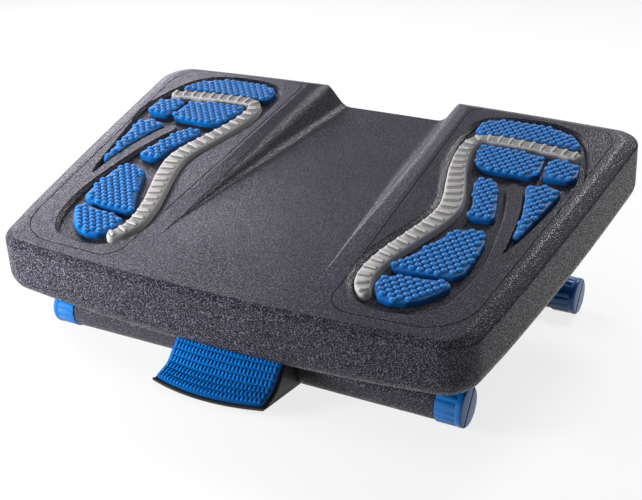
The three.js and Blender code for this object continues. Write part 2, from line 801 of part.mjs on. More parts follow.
function bushSolid(side) {
  const inner = towerInset;
  const outer = towerInset + towerThickness + seatGap;
  const x = (value) => side * value;
  const span = (a, b) => [Math.min(x(a), x(b)), Math.max(x(a), x(b))];
  const [s0, s1] = span(inner, outer + bushFlange);
  const [f0, f1] = span(outer, outer + bushFlange);
  return cut(join(
    roundX(s0, s1, 0, hingeHeight, bushRadius),
    roundX(f0, f1, 0, hingeHeight, bushFlangeRadius),
  ), roundX(s0 - overrun, s1 + overrun, 0, hingeHeight, axleRadius + seatGap));
}

// A piece of the right half and its mirror image.
function bothSides(solid) {
  return [solid, solid.mirror([1, 0, 0])];
}

function housingSolids() {
  const halfWidth = housingWidth / 2;
  const halfLength = housingLength / 2;
  const outer = block(-halfWidth, halfWidth, -halfLength, halfLength, floorGap, housingTop);
  const inner = block(housingWall - halfWidth, halfWidth - housingWall,
    housingWall - halfLength, halfLength - housingWall,
    floorGap - overrun, housingTop - housingWall);
  return { outer, inner };
}

function towerSolid() {
  const outline = [
    [-towerFootHalfLength, housingTop - housingWall / 2],
    ...arc(0, hingeHeight, towerHubRadius, 180, 0, 10),
    [towerFootHalfLength, housingTop - housingWall / 2],
  ].reverse();
  return prismX(outline, towerInset, towerInset + towerThickness);
}

// The plate beside the pedal, which joins the front bar to the housing and holds the pin.
function cheekSolid() {
  return block(cheekInset, housingWidth / 2 + seatGap, -frontBarOffset, housingWall / 2
    - housingLength / 2, floorGap, barAxisHeight + barRadius / 2);
}

function rearArmOutline(wall) {
  const rootX = housingWidth / 2 - housingWall / 2 + 2 * wall;
  const near = rearBarOffset - barRadius;
  const far = rearBarOffset + barRadius;
  const hubStart = rearHubEnd - hubLength;
  return [
    [rootX, armRootNear + 2 * wall], [hubStart + barWall - wall, near + wall],
    [hubStart + 2 * barWall - wall, near + wall], [hubStart + 2 * barWall - wall, far - wall],
    [hubStart - barWall, far - wall], [rootX, armRootFar - wall],
  ];
}

function coverScrewPlaces() {
  const x = housingWidth / 2 - coverScrewInset;
  const y = housingLength / 2 - coverScrewInset;
  return [[-x, -y], [x, -y], [-x, y], [x, y]];
}

function baseFrame() {
  const { outer, inner } = housingSolids();
  const bossTop = housingTop - housingWall / 2;
  const bossLow = coverTop + seatGap;
  const bosses = coverScrewPlaces().map(([x, y]) => roundZ(x, y, bossLow, bossTop,
    coverBossRadius));
  const pilots = coverScrewPlaces().map(([x, y]) => roundZ(x, y, bossLow - overrun,
    bossLow + screwBite + overrun, screwRadius + seatGap));
  const lugX = brakeArmHalfWidth + pedalGap;
  const lug = block(lugX, lugX + lugThickness, -brakePinOffset - lugHalfLength,
    lugHalfLength - brakePinOffset, brakePinHeight - lugHalfLength, bossTop);
  const frontBar = roundX(cheekInset, frontBarEnd, -frontBarOffset, barAxisHeight, barRadius);
  const frontBore = roundX(housingWidth / 2, frontBarEnd + overrun, -frontBarOffset,
    barAxisHeight, barRadius - barWall);
  const rearStart = rearHubEnd - hubLength;
  const rearHub = roundX(rearStart, rearHubEnd, rearBarOffset, barAxisHeight, barRadius);
  const rearBore = roundX(rearStart + 2 * barWall, rearHubEnd + overrun, rearBarOffset,
    barAxisHeight, barRadius - barWall);
  const armTop = floorGap + armHeight;
  const arm = prismZ(rearArmOutline(0), floorGap, armTop);
  const armHollow = prismZ(rearArmOutline(housingWall), floorGap - overrun, armTop - housingWall);
  const slotX = brakeArmHalfWidth + pedalGap;
  const slotY = shoeHalfLength + 2 * pedalGap;
  const shoeSlot = block(-slotX, slotX, -slotY, slotY, housingTop - housingWall - overrun,
    housingTop + overrun);
  const tailX = tailHalfWidth + pedalGap;
  const tailSlot = block(-tailX, tailX, -housingLength / 2 - overrun,
    housingWall - housingLength / 2 + overrun, floorGap - overrun,
    armBottom + brakeArmDepth);
  const pedalPinHole = roundX(cheekInset - overrun, housingWidth / 2 - overrun,
    -pedalPinOffset, pedalPinHeight, pedalPinRadius + seatGap, smallSides);
  const brakePinHole = roundX(-lugX - lugThickness - overrun, lugX + lugThickness + overrun,
    -brakePinOffset, brakePinHeight, brakePinRadius + seatGap, smallSides);
  const bushBore = roundX(towerInset - overrun, towerInset + towerThickness + overrun, 0,
    hingeHeight, bushRadius + seatGap);
  const shell = cut(outer, inner);
  const solids = join(shell, bosses, bothSides(lug), bothSides(towerSolid()),
    bothSides(cheekSolid()), bothSides(frontBar), bothSides(cut(join(arm, rearHub), armHollow)));
  return cut(solids, pilots, bothSides(frontBore), bothSides(rearBore), shoeSlot, tailSlot,
    bothSides(pedalPinHole), brakePinHole, bothSides(bushBore));
}

function bottomCover() {
  const halfWidth = housingWidth / 2 - housingWall - seatGap;
  const halfLength = housingLength / 2 - housingWall - seatGap;
  const plate = block(-halfWidth, halfWidth, -halfLength, halfLength, coverBottom, coverTop);
  const seat = roundZ(0, springPlace(), coverBottom + coverThickness / 2, coverTop
    + springWire, springRadius - 2 * springWire);
  const holes = coverScrewPlaces().map(([x, y]) => join(
    roundZ(x, y, coverBottom - overrun, coverTop + overrun, screwRadius + seatGap),
    roundZ(x, y, coverBottom - overrun, coverBottom + coverThickness / 2,
      screwHeadRadius + seatGap),
  ));
  const tailX = tailHalfWidth + pedalGap;
  const notch = block(-tailX, tailX, -halfLength - overrun, noseRadius * 2 - brakeNoseOffset,
    coverBottom - overrun, coverTop + overrun);
  return cut(join(plate, seat), holes, notch);
}

function coverScrew([x, y]) {
  return screwSolid(x, y, coverBottom + coverThickness / 2, coverThickness / 2 + screwBite);
}

// An end cap along X, with its outer face at the end of the span.
function endCap(outerX, y) {
  const side = Math.sign(outerX);
  const flutes = [];
  const steps = capFlutes * 2;
  for (let i = 0; i < steps; i += 1) {
    const angle = degrees(360 * ((i + 0.5) / steps) - 90);
    const radius = capRadius - (i % 2) * capFluteDepth;
    flutes.push([y + radius * Math.cos(angle), barAxisHeight + radius * Math.sin(angle)]);
  }
  const span = (a, b) => [outerX - side * a, outerX - side * b].sort((p, q) => p - q);
  const body = prismX(flutes, ...span(capPlateLength / 2, capLength));
  const [p0, p1] = span(0, capPlateLength);
  const plate = roundX(p0, p1, y, barAxisHeight, capRadius, ringSides);
  const [g0, g1] = span(capLength / 2, capLength + capPlugLength);
  const plug = roundX(g0, g1, y, barAxisHeight, barRadius - barWall - seatGap, smallSides);
  const [s0, s1] = span(-overrun, capSlotDepth);
  const slot = block(s0, s1, -capSlotWidth / 2, capSlotWidth / 2, -2 * capRadius, 2 * capRadius)
    .rotate([capSlotLean, 0, 0]).translate([0, y, barAxisHeight]);
  const [f0, f1] = span(-overrun, capLength + overrun);
  const sole = block(f0, f1, y - capRadius, y + capRadius, -capRadius, 0);
  return cut(join(body, plate, plug), slot, sole);
}

// Pedal

// Place of the pedal's pad surface at a share of its run, and its outward normal.
function pedalCurve() {
  const frontY = pedalLip - frontBarOffset - pedalReach;
  const frontZ = pedalToeClearance + pedalLipHeight + seatGap + pedalPadThickness / 2;
  return pedalCurveShares.map(([along, up]) => new THREE.Vector2(
    frontY + along * pedalRun, frontZ + up * pedalRise,
  ));
}

function offsetCurve(points, distance) {
  return points.map((point, i) => {
    const before = points[Math.max(i - 1, 0)];
    const after = points[Math.min(i + 1, points.length - 1)];
    const along = after.clone().sub(before).normalize();
    return new THREE.Vector2(point.x + along.y * distance, point.y - along.x * distance);
  });
}

// A solid whose outline in Y and Z bulges forwards towards the middle of its width.
function bulged(halfWidth, outline, bulgeOf) {
  const rings = [-1, ...bulgeShares, 1].map((share) => {
    const x = Math.abs(share) === 1 ? share * halfWidth : share * pedalHalfWidth;
    const bulge = pedalBulge * (1 - (x / pedalHalfWidth) ** 2);
    return outline.map(([y, z], k) => new THREE.Vector3(x, y - bulge * bulgeOf[k], z));
  });
  return loft(rings, (p) => new THREE.Vector2(p.y, p.z));
}

function pedalPad() {
  const top = pedalCurve();
  const bottom = offsetCurve(top, pedalPadThickness);
  const outline = [...bottom, ...top.reverse()].map((p) => [p.x, p.y]);
  const fade = pedalCurveShares.map(([along]) => 1 - along);
  return bulged(pedalHalfWidth - pedalPadInset, outline, [...fade, ...fade.slice().reverse()]);
}

function pedalLever() {
  const seat = offsetCurve(pedalCurve(), pedalPadThickness + seatGap).map((p) => [p.x, p.y]);
  const frontY = -frontBarOffset - pedalReach;
  const heelY = -frontBarOffset - pedalHeelSetback;
  const backY = seat[seat.length - 1][0] + 2 * pedalWall;
  const backZ = seat[seat.length - 1][1];
  const lipTop = pedalToeClearance + pedalLipHeight;
  const fade = pedalCurveShares.map(([along]) => 1 - along);
  const outer = [[frontY, pedalToeClearance], [frontY, lipTop], ...seat, [backY, backZ],
    [heelY, pedalPinHeight + pedalHubRadius], [heelY, pedalHeelClearance]];
  const body = bulged(pedalHalfWidth, outer, [1, 1, ...fade, 0, 0, 0, 0]);
  const roof = offsetCurve(pedalCurve(), pedalPadThickness + seatGap + pedalWall)
    .map((p) => [p.x, p.y]).slice(1);
  const innerFrontY = roof[0][0];
  const hollow = prismX([
    [innerFrontY, -overrun], ...roof, [backY - pedalWall, backZ - pedalWall],
    [heelY - pedalWall, pedalPinHeight + pedalHubRadius - pedalWall],
    [heelY - pedalWall, -overrun],
  ], pedalWall - pedalHalfWidth, pedalHalfWidth - pedalWall);
  const hubIn = pedalHalfWidth - 2 * pedalWall;
  const ear = join(
    roundX(hubIn, cheekInset - seatGap, -pedalPinOffset, pedalPinHeight, pedalHubRadius),
    block(hubIn, pedalHalfWidth, heelY - pedalWall, -pedalPinOffset,
      pedalPinHeight - pedalHubRadius, pedalPinHeight + pedalHubRadius),
  );
  const noseZ = armBottom - noseGap - noseRadius;
  const tail = join(
    prismX([[heelY - pedalWall / 2, noseZ - noseRadius], [-brakeNoseOffset, noseZ - noseRadius],
      ...arc(-brakeNoseOffset, noseZ, noseRadius, -60, 90, 5),
      [heelY - pedalWall / 2, noseZ + noseRadius]], -tailHalfWidth, tailHalfWidth),
    roundX(-tailHalfWidth, tailHalfWidth, -pedalPinOffset, pedalPinHeight,
      pedalPinRadius + pedalWall),
  );
  const pinHole = roundX(-cheekInset - overrun, cheekInset + overrun, -pedalPinOffset,
    pedalPinHeight, pedalPinRadius + seatGap, smallSides);
  return cut(join(cut(body, hollow), bothSides(ear), tail), pinHole);
}

function pedalPin() {
  const reach = housingWidth / 2 - overrun - seatGap;
  return roundX(-reach, reach, -pedalPinOffset, pedalPinHeight, pedalPinRadius, smallSides);
}

// Brake

function springPlace() {
  return shoeHalfLength / 2;
}

function brakeArm() {
  const frontY = -brakeNoseOffset - brakeArmOverhang;
  const top = armBottom + brakeArmDepth;
  const beam = block(-brakeArmHalfWidth, brakeArmHalfWidth, frontY, shoeHalfLength, armBottom, top);
  const shoeTop = hingeHeight - sectorRadius;
  const shoe = block(-brakeArmHalfWidth, brakeArmHalfWidth, -shoeHalfLength, shoeHalfLength,
    armBottom, shoeTop);
  const bed = roundX(-brakeArmHalfWidth - overrun, brakeArmHalfWidth + overrun, 0, hingeHeight,
    sectorRadius + liningThickness + 2 * seatGap, 3 * ringSides);
  const hub = roundX(-brakeArmHalfWidth, brakeArmHalfWidth, -brakePinOffset, brakePinHeight,
    brakePinRadius + housingWall, smallSides);
  const hole = roundX(-brakeArmHalfWidth - overrun, brakeArmHalfWidth + overrun,
    -brakePinOffset, brakePinHeight, brakePinRadius + seatGap, smallSides);
  return cut(join(beam, cut(shoe, bed), hub), hole);
}

function brakeLining() {
  const from = 270 - liningHalfAngle;
  const to = 270 + liningHalfAngle;
  const inner = sectorRadius + seatGap;
  return prismX([
    ...arc(0, hingeHeight, inner + liningThickness, from, to, 8),
    ...arc(0, hingeHeight, inner, to, from, 8),
  ], -brakeArmHalfWidth, brakeArmHalfWidth);
}

function brakePin() {
  const reach = brakeArmHalfWidth + pedalGap + lugThickness;
  return roundX(-reach, reach, -brakePinOffset, brakePinHeight, brakePinRadius, smallSides);
}

// A coil spring as one unbroken tube between the cover and the arm.
class Helix extends THREE.Curve {
  constructor(radius, height, turns) {
    super();
    Object.assign(this, { radius, height, turns });
  }

  getPoint(t) {
    const angle = 2 * Math.PI * this.turns * t;
    return new THREE.Vector3(this.radius * Math.cos(angle), this.radius * Math.sin(angle),
      this.height * t);
  }
}

function brakeSpring() {
  const low = coverTop + seatGap + springWire / 2;
  const high = armBottom - seatGap - springWire / 2;
  const section = new THREE.Shape(arc(0, 0, springWire / 2, 0, 288, 4)
    .map(([x, y]) => new THREE.Vector2(x, y)));
  const coil = new THREE.ExtrudeGeometry(section, {
    steps: 10 * springTurns,
    extrudePath: new Helix(springRadius - springWire / 2, high - low, springTurns),
  });
  coil.translate(0, springPlace(), low);
  return solidOf(coil);
}

// Materials

function material(color, roughness, metalness = 0) {
  return new THREE.MeshStandardMaterial({ color, roughness, metalness });
}

const texturedBlack = material(0x2c2c31, 0.6);
const plainBlack = material(0x232327, 0.5);
const padBlue = material(0x2468b4, 0.5);
const capBlue = material(0x1f62ad, 0.4);
const stripGrey = material(0xa8a6a3, 0.6);
const steel = material(0xb4b6ba, 0.35, 0.9);
const darkSteel = material(0x55585e, 0.45, 0.8);
const acetal = material(0xe4e2da, 0.45);
const frictionRubber = material(0x1b1b1c, 0.9);

// Assembly

function mesh(name, solid, look) {
  const { vertProperties, triVerts } = solid.getMesh();
  const geometry = new THREE.BufferGeometry();
  geometry.setAttribute('position', new THREE.BufferAttribute(vertProperties, 3));
  geometry.setIndex(new THREE.BufferAttribute(triVerts, 1));
  geometry.computeVertexNormals();
  const piece = new THREE.Mesh(geometry, look);
  piece.name = name;
  return piece;
}

const sides = { left: -1, right: 1 };

function deckPieces() {
  const deck = new THREE.Group();
  deck.add(mesh('deck_shell', deckShell(), texturedBlack));
  for (const [word, side] of Object.entries(sides)) {
    for (const name of Object.keys(padShares)) {
      deck.add(mesh(`${name}_pad_${word}`, padSolid(name, side), padBlue));
    }
    deck.add(mesh(`ribbed_strip_${word}`, stripSolid(side), stripGrey));
    deck.add(mesh(`pivot_bracket_${word}`, bracketSolid(side), darkSteel));
    bracketScrewPlaces(side).forEach((place, i) => {
      const end = ['front', 'rear'][i];
      deck.add(mesh(`bracket_screw_${word}_${end}`, deckScrew(place), steel));
    });
    deck.add(mesh(`axle_clip_${word}`, clipSolid(side), steel));
  }
  deck.add(mesh('brake_sector', sectorSolid(), darkSteel));
  deck.add(mesh('sector_screw_left', deckScrew(sectorScrewPlaces[0]), steel));
  deck.add(mesh('sector_screw_right', deckScrew(sectorScrewPlaces[1]), steel));
  deck.add(mesh('axle', axleSolid(), steel));
  deck.position.z = hingeHeight;
  deck.rotation.x = degrees(restTilt);
  return deck;
}

function basePieces() {
  const base = new THREE.Group();
  base.add(mesh('base_frame', baseFrame(), plainBlack));
  base.add(mesh('bottom_cover', bottomCover(), plainBlack));
  const corners = ['front_left', 'front_right', 'rear_left', 'rear_right'];
  coverScrewPlaces().forEach((place, i) => {
    base.add(mesh(`cover_screw_${corners[i]}`, coverScrew(place), steel));
  });
  for (const [word, side] of Object.entries(sides)) {
    base.add(mesh(`axle_bush_${word}`, bushSolid(side), acetal));
    base.add(mesh(`end_cap_front_${word}`,
      endCap((side * frontCapSpan) / 2, -frontBarOffset), capBlue));
    base.add(mesh(`end_cap_rear_${word}`,
      endCap((side * rearCapSpan) / 2, rearBarOffset), capBlue));
  }
  base.add(mesh('pedal_pin', pedalPin(), steel));
  base.add(mesh('brake_pin', brakePin(), steel));
  base.add(mesh('brake_spring', brakeSpring(), steel));
  return base;
}

function movingBasePieces() {
  const pieces = new THREE.Group();
  pieces.add(mesh('pedal_lever', pedalLever(), plainBlack));
  pieces.add(mesh('pedal_pad', pedalPad(), padBlue));
  pieces.add(mesh('brake_arm', brakeArm(), darkSteel));
  pieces.add(mesh('brake_lining', brakeLining(), frictionRubber));
  return pieces;
}

const footrest = new THREE.Group();
footrest.add(deckPieces(), basePieces(), movingBasePieces());

// The origin lies on the floor, under the middle of the whole footrest.
footrest.updateMatrixWorld(true);
const extent = new THREE.Box3().setFromObject(footrest, true);
footrest.position.y = -(extent.min.y + extent.max.y) / 2;
footrest.updateMatrixWorld(true);

export default footrest;
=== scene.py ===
"""A tilting under-desk footrest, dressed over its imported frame."""

import json
import math

import bmesh
import bpy
from bpy.props import FloatProperty, FloatVectorProperty, IntProperty, PointerProperty
from bpy.types import Operator, Panel, PropertyGroup
from mathutils import Matrix, Vector


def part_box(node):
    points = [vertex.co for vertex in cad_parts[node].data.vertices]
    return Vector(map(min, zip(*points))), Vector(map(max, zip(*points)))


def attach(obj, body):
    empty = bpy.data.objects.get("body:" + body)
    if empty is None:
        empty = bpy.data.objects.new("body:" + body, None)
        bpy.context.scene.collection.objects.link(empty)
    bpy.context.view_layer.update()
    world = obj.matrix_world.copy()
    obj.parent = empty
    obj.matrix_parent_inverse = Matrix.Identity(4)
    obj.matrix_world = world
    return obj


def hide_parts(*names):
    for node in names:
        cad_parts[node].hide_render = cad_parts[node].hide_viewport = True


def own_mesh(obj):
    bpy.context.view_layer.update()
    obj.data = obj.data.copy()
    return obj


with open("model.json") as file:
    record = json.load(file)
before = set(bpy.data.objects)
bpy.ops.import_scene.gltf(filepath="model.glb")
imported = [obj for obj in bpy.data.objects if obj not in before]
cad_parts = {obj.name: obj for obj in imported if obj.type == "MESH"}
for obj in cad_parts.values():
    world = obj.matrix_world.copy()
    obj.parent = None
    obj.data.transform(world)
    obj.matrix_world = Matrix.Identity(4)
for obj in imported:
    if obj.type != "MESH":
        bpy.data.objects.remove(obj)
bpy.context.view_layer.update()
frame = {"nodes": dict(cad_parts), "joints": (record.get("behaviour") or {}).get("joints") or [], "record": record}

bl_info = {
    "name": "Tilting footrest",
    "version": (1, 0, 0),
    "blender": (4, 5, 0),
    "location": "3D View > Sidebar > Footrest",
    "description": "Makes the visible surfaces of an under-desk footrest",
    "category": "Object",
}

SIDES = {"left": -1, "right": 1}


def joint_place(name):
    """Where a joint's axis stands in the frame."""
    return Vector(next(j["pos_m"] for j in frame["joints"] if j["name"] == name))


HINGE = joint_place("deck_tilt")

# How far a cutter reaches past the material that it cuts, in metres.
PAST = 0.001


def length(name, text, default):
    """A size property in metres."""
    return FloatProperty(name=name, description=text, default=default, min=0, unit="LENGTH")


def colour(name, text, default):
    """A colour property."""
    return FloatVectorProperty(
        name=name, description=text, default=default, subtype="COLOR", size=3, min=0, max=1
    )


class FootrestDeckSizes(PropertyGroup):
    """Sizes of the tilting platform."""

    depth: length("Depth", "Heel edge to toe edge", 0.333)
    front_width: length("Heel width", "Width at the heel edge", 0.422)
    rear_width: length("Toe width", "Width at the toe edge", 0.486)
    front_height: length("Heel height", "Top edge above the hinge, heel edge", 0.0295)
    rear_height: length("Toe height", "Top edge above the hinge, toe edge", 0.0525)
    rim_drop: length("Rim drop", "Lower rim below the hinge, heel edge", 0.018)
    rim_sweep: length("Rim sweep", "Rise of the lower rim to the toe edge", 0.016)
    rim_arch: length("Rim arch", "Rise of the lower rim to the sides", 0.006)
    corner_radius: length("Corner radius", "Corners seen from above", 0.029)
    end_bow: length("End bow", "Bulge of the heel and toe edges", 0.008)
    side_bow: length("Side bow", "Bulge of the sides", 0.0025)
    draft: length("Draft", "How far the walls lean in above the rim's rounding", 0.0005)
    rim_inset: length("Rim inset", "How far the rounded rim turns in", 0.0125)
    rim_round: length("Rim rounding", "Height of the rim's rounding", 0.015)
    band_width: length("Band width", "Sloping band round the top", 0.011)
    band_rise: length("Band rise", "Height of the sloping band", 0.0045)
    heel_band_inset: length("Heel band inset", "Band behind the heel edge's wall", 0.003)
    heel_band_width: length("Heel band width", "Band along the heel edge", 0.004)
    wall: length("Wall", "Thickness of the shell", 0.003)
    rib_height: length("Rib height", "Ribs under the top", 0.018)
    tilt: FloatProperty(
        name="Tilt", description="Tilt at rest", default=math.radians(10.1), subtype="ANGLE"
    )


class FootrestValleySizes(PropertyGroup):
    """Sizes of the valley between the foot panels."""

    depth: length("Depth", "Depth at the toe edge", 0.026)
    floor_width: length("Floor width", "Flat floor at the toe edge", 0.101)
    ridge_width: length("Ridge width", "Between the ridges at the toe edge", 0.134)
    tip_width: length("Tip width", "Where the valley starts", 0.148)
    tip_setback: length("Tip setback", "Heel edge to where the valley starts", 0.076)
    blend: length("Blend", "Length over which it starts", 0.022)
    shoulder_width: length("Shoulder width", "Fall of the panels beside it", 0.014)
    shoulder_drop: length("Shoulder drop", "Drop of the panels beside it", 0.004)
    floor_round: length("Floor rounding", "Foot of the walls", 0.014)
    ridge_round: length("Ridge rounding", "Top of the walls", 0.021)


class FootrestFootSizes(PropertyGroup):
    """Sizes of the foot recesses, pads and strips."""

    spacing: length("Spacing", "Between the middles of the feet", 0.300)
    width: length("Width", "Width of a foot outline", 0.120)
    foot_length: length("Length", "Length of a foot outline", 0.280)
    shift: length("Shift", "Foot outline towards the toe edge", 0.008)
    pocket_depth: length("Recess depth", "Depth of the recess", 0.0048)
    pocket_lip: length("Recess lip", "Widest slope of its edge", 0.007)
    pad_rise: length("Pad rise", "Pad above the panel", 0.0005)
    pad_corner: length("Pad corner", "Rounding of pad corners", 0.0045)
    pad_grow: length("Pad growth", "Pad outlines past their plain points", 0.0008)
    pip_radius: length("Pip radius", "Foot of a pip", 0.0031)
    pip_height: length("Pip height", "Height of a pip", 0.0022)
    pip_pitch: length("Pip pitch", "Pips along a row", 0.0069)
    pip_row: length("Pip row", "Between rows of pips", 0.0044)
    strip_rise: length("Strip rise", "Strip above the panel", 0.0018)
    strip_width: length("Strip width", "Widest strip", 0.0188)
    rib_pitch: length("Rib pitch", "Ribs along the strip", 0.0094)
    rib_height: length("Rib height", "Ribs above the strip", 0.0017)
    # The cells are thin darker sheets between the ribs: painted shade.
    shade_cell_height: length("Shade cell height", "Dark cells between the ribs", 0.0003)
    groove_width: length("Groove width", "Line round a foot panel", 0.0009)
    groove_depth: length("Groove depth", "Line round a foot panel", 0.0007)


class FootrestBaseSizes(PropertyGroup):
    """Sizes of the base frame and its end caps."""

    floor_gap: length("Floor gap", "Under the housing", 0.004)
    wall: length("Wall", "Thickness of the mouldings", 0.003)
    housing_width: length("Housing width", "Across the housing", 0.116)
    housing_length: length("Housing length", "Heel side to toe side", 0.144)
    housing_height: length("Housing height", "Without its floor gap", 0.032)
    bar_radius: length("Bar radius", "Front bar and rear hubs", 0.015)
    front_offset: length("Front bar offset", "In front of the axle", 0.1015)
    rear_offset: length("Rear hub offset", "Behind the axle", 0.1265)
    front_end: length("Front bar end", "Half the front bar", 0.1677)
    rear_end: length("Rear hub end", "Centre line to a rear hub's end", 0.1782)
    hub_length: length("Hub length", "Rear hub", 0.030)
    arm_height: length("Arm height", "Rear arms", 0.026)
    tower_inset: length("Tower inset", "Centre line to a tower", 0.034)
    tower_width: length("Tower width", "Thickness of a tower", 0.006)
    tower_radius: length("Tower radius", "Top of a tower", 0.012)
    tower_half: length("Tower foot", "Half a tower's foot", 0.022)
    cheek_inset: length("Cheek inset", "Centre line to a pedal cheek", 0.053)
    cap_radius: length("Cap radius", "End cap", 0.0162)
    cap_length: length("Cap length", "End cap", 0.022)
    cap_ring: length("Cap ring", "Plain ring at the outer end", 0.005)
    cap_flute: length("Cap flute", "Depth of the flutes", 0.0008)
    cap_slot_width: length("Slot width", "Coin slot in an end cap", 0.0026)
    cap_slot_depth: length("Slot depth", "Coin slot in an end cap", 0.002)
    cap_flutes: IntProperty(name="Flutes", description="Flutes on a cap", default=16, min=3)
    cap_slot_lean: FloatProperty(
        name="Slot lean", description="Lean of the coin slot, its top to the toe edge",
        default=math.radians(-33), subtype="ANGLE",
    )


class FootrestPedalSizes(PropertyGroup):
    """Sizes of the pedal and its pad."""

    half_width: length("Half width", "Half the pedal", 0.051)
    reach: length("Reach", "Axle to the pedal's front edge at its ends", 0.165)
    bulge: length("Bulge", "Forward bulge of its middle", 0.009)
    lip: length("Lip", "Lever in front of the pad", 0.0035)
    toe_clearance: length("Toe clearance", "Under the front edge", 0.0056)
    heel_clearance: length("Heel clearance", "Under the rear edge", 0.0016)
    lip_height: length("Lip height", "Front edge", 0.0026)
    run: length("Run", "Pad from front to rear", 0.039)
    rise: length("Rise", "Pad's climb", 0.030)
    pad_inset: length("Pad inset", "Pad's ends inside the lever's", 0.0025)
    pad_thickness: length("Pad thickness", "Soft pad", 0.0032)
    gap: length("Gap", "Pad to lever", 0.0003)
    wall: length("Wall", "Thickness of the lever", 0.003)
    heel: length("Heel", "Axle to the lever's rear wall", 0.103)
    pin_offset: length("Pin offset", "In front of the axle", 0.088)
    pin_height: length("Pin height", "Above the floor", 0.0135)
    pin_radius: length("Pin radius", "Pedal pin", 0.003)
    hub_radius: length("Hub radius", "Round the pin", 0.008)
    nose_offset: length("Nose offset", "In front of the axle", 0.060)
    nose_height: length("Nose height", "Above the floor", 0.0135)
    nose_radius: length("Nose radius", "End of the tail", 0.004)
    tail_half: length("Tail half width", "Tail that lifts the brake arm", 0.007)
    fin_rows: IntProperty(name="Fin rows", description="Rows of fins", default=9, min=1)
    fins: IntProperty(name="Fins", description="Fins in a row", default=28, min=1)
    fin_height: length("Fin height", "Fins on the pad", 0.0012)
    spring_wire: length("Spring wire", "Brake spring", 0.0013)
    spring_turns: IntProperty(name="Spring turns", description="Brake spring", default=5, min=2)


class FootrestColours(PropertyGroup):
    """Colours of the finishes."""

    deck: colour("Deck black", "Textured plastic", (0.006, 0.006, 0.0088))
    # Bright flecks in the plastic's colour: painted glints of its grain.
    deck_glint: colour("Deck glint", "Bright flecks in the texture", (0.085, 0.083, 0.112))
    base: colour("Base black", "Plain plastic", (0.014, 0.0135, 0.016))
    pad: colour("Pad blue", "Foot and pedal pads", (0.001, 0.125, 0.39))
    # A darker blue for the pads' bodies round their pips and for the pedal pad round its fins: painted shade
    # between them.
    pad_foot: colour("Pad foot", "Pads between their pips", (0.001, 0.068, 0.24))
    cap: colour("Cap blue", "End caps", (0.004, 0.085, 0.27))
    strip: colour("Strip grey", "Massage strips", (0.34, 0.33, 0.325))
    # A darker grey for the thin cells between the strip's ribs: painted shade.
    strip_shade_cell: colour("Strip shade grey", "Cells between the ribs", (0.20, 0.19, 0.185))
    steel: colour("Bright steel", "Axle, pins and screws", (0.55, 0.56, 0.57))
    painted: colour("Painted steel", "Brackets and brake", (0.08, 0.085, 0.095))
    acetal: colour("Bush white", "Axle bushes", (0.72, 0.70, 0.64))
    lining: colour("Lining black", "Brake lining", (0.012, 0.012, 0.012))


# Outlines as shares of a foot's width and length, about the middle of the foot.
# The third number of a recess point is its share of the widest lip.
POCKET_SHARES = [
    (0.017, -0.507, 0.5), (-0.167, -0.518, 0.7), (-0.317, -0.502, 0.7), (-0.433, -0.450, 0.7),
    (-0.492, -0.385, 0.8), (-0.483, -0.304, 0.9), (-0.425, -0.214, 0.9), (-0.350, -0.129, 0.9),
    (-0.308, -0.050, 0.9), (-0.317, 0.007, 0.9), (-0.375, 0.089, 0.85), (-0.435, 0.170, 0.8),
    (-0.475, 0.261, 0.8), (-0.480, 0.350, 0.7), (-0.445, 0.425, 0.5), (-0.370, 0.470, 0.4),
    (-0.220, 0.492, 0.4), (0.020, 0.497, 0.4), (0.220, 0.480, 0.4), (0.370, 0.440, 0.4),
    (0.460, 0.370, 0.4), (0.520, 0.290, 0.4), (0.550, 0.225, 0.35), (0.535, 0.165, 0.25),
    (0.500, 0.120, 0.18), (0.455, 0.020, 0.15), (0.410, -0.075, 0.15), (0.372, -0.150, 0.12),
    (0.338, -0.187, 0.1), (0.325, -0.140, 0.12), (0.300, -0.045, 0.15), (0.250, 0.052, 0.18),
    (0.185, 0.118, 0.2), (0.125, 0.142, 0.2), (0.092, 0.122, 0.25), (0.133, 0.071, 0.3),
    (0.195, -0.020, 0.35), (0.245, -0.140, 0.35), (0.275, -0.261, 0.35), (0.262, -0.357, 0.4),
    (0.205, -0.440, 0.4), (0.118, -0.490, 0.4),
]

PAD_SHARES = {
    "toe": [
        (-0.383, 0.377), (-0.383, 0.430), (-0.325, 0.460), (-0.180, 0.468), (0.017, 0.471),
        (0.183, 0.457), (0.300, 0.434), (0.372, 0.395), (0.392, 0.363), (0.000, 0.374),
    ],
    "ball": [
        (-0.275, 0.312), (0.175, 0.302), (0.210, 0.280), (0.233, 0.208), (0.185, 0.186),
        (-0.140, 0.186), (-0.208, 0.204), (-0.262, 0.262),
    ],
    "outer_ball": [
        (0.252, 0.297), (0.433, 0.286), (0.468, 0.265), (0.483, 0.222), (0.442, 0.197),
        (0.272, 0.193),
    ],
    "arch": [
        (-0.125, 0.136), (0.000, 0.133), (0.050, 0.090), (0.112, 0.010), (0.150, -0.050),
        (0.020, -0.060), (-0.022, -0.050), (-0.040, 0.002), (-0.130, 0.106),
    ],
    "outer_edge": [
        (0.205, 0.140), (0.362, 0.152), (0.445, 0.134), (0.420, 0.052), (0.388, -0.040),
        (0.350, -0.160), (0.312, -0.010), (0.258, 0.078),
    ],
    "heel_upper": [
        (-0.030, -0.128), (0.083, -0.114), (0.158, -0.122), (0.190, -0.160), (0.198, -0.243),
        (0.190, -0.304), (0.150, -0.327), (0.000, -0.336), (-0.235, -0.346), (-0.266, -0.330),
        (-0.200, -0.286), (-0.125, -0.221), (-0.065, -0.160),
    ],
    "heel_lower": [
        (-0.265, -0.388), (-0.190, -0.370), (-0.025, -0.361), (0.125, -0.350), (0.170, -0.364),
        (0.125, -0.400), (0.058, -0.438), (-0.025, -0.464), (-0.117, -0.475), (-0.192, -0.468),
        (-0.250, -0.442), (-0.275, -0.412),
    ],
}

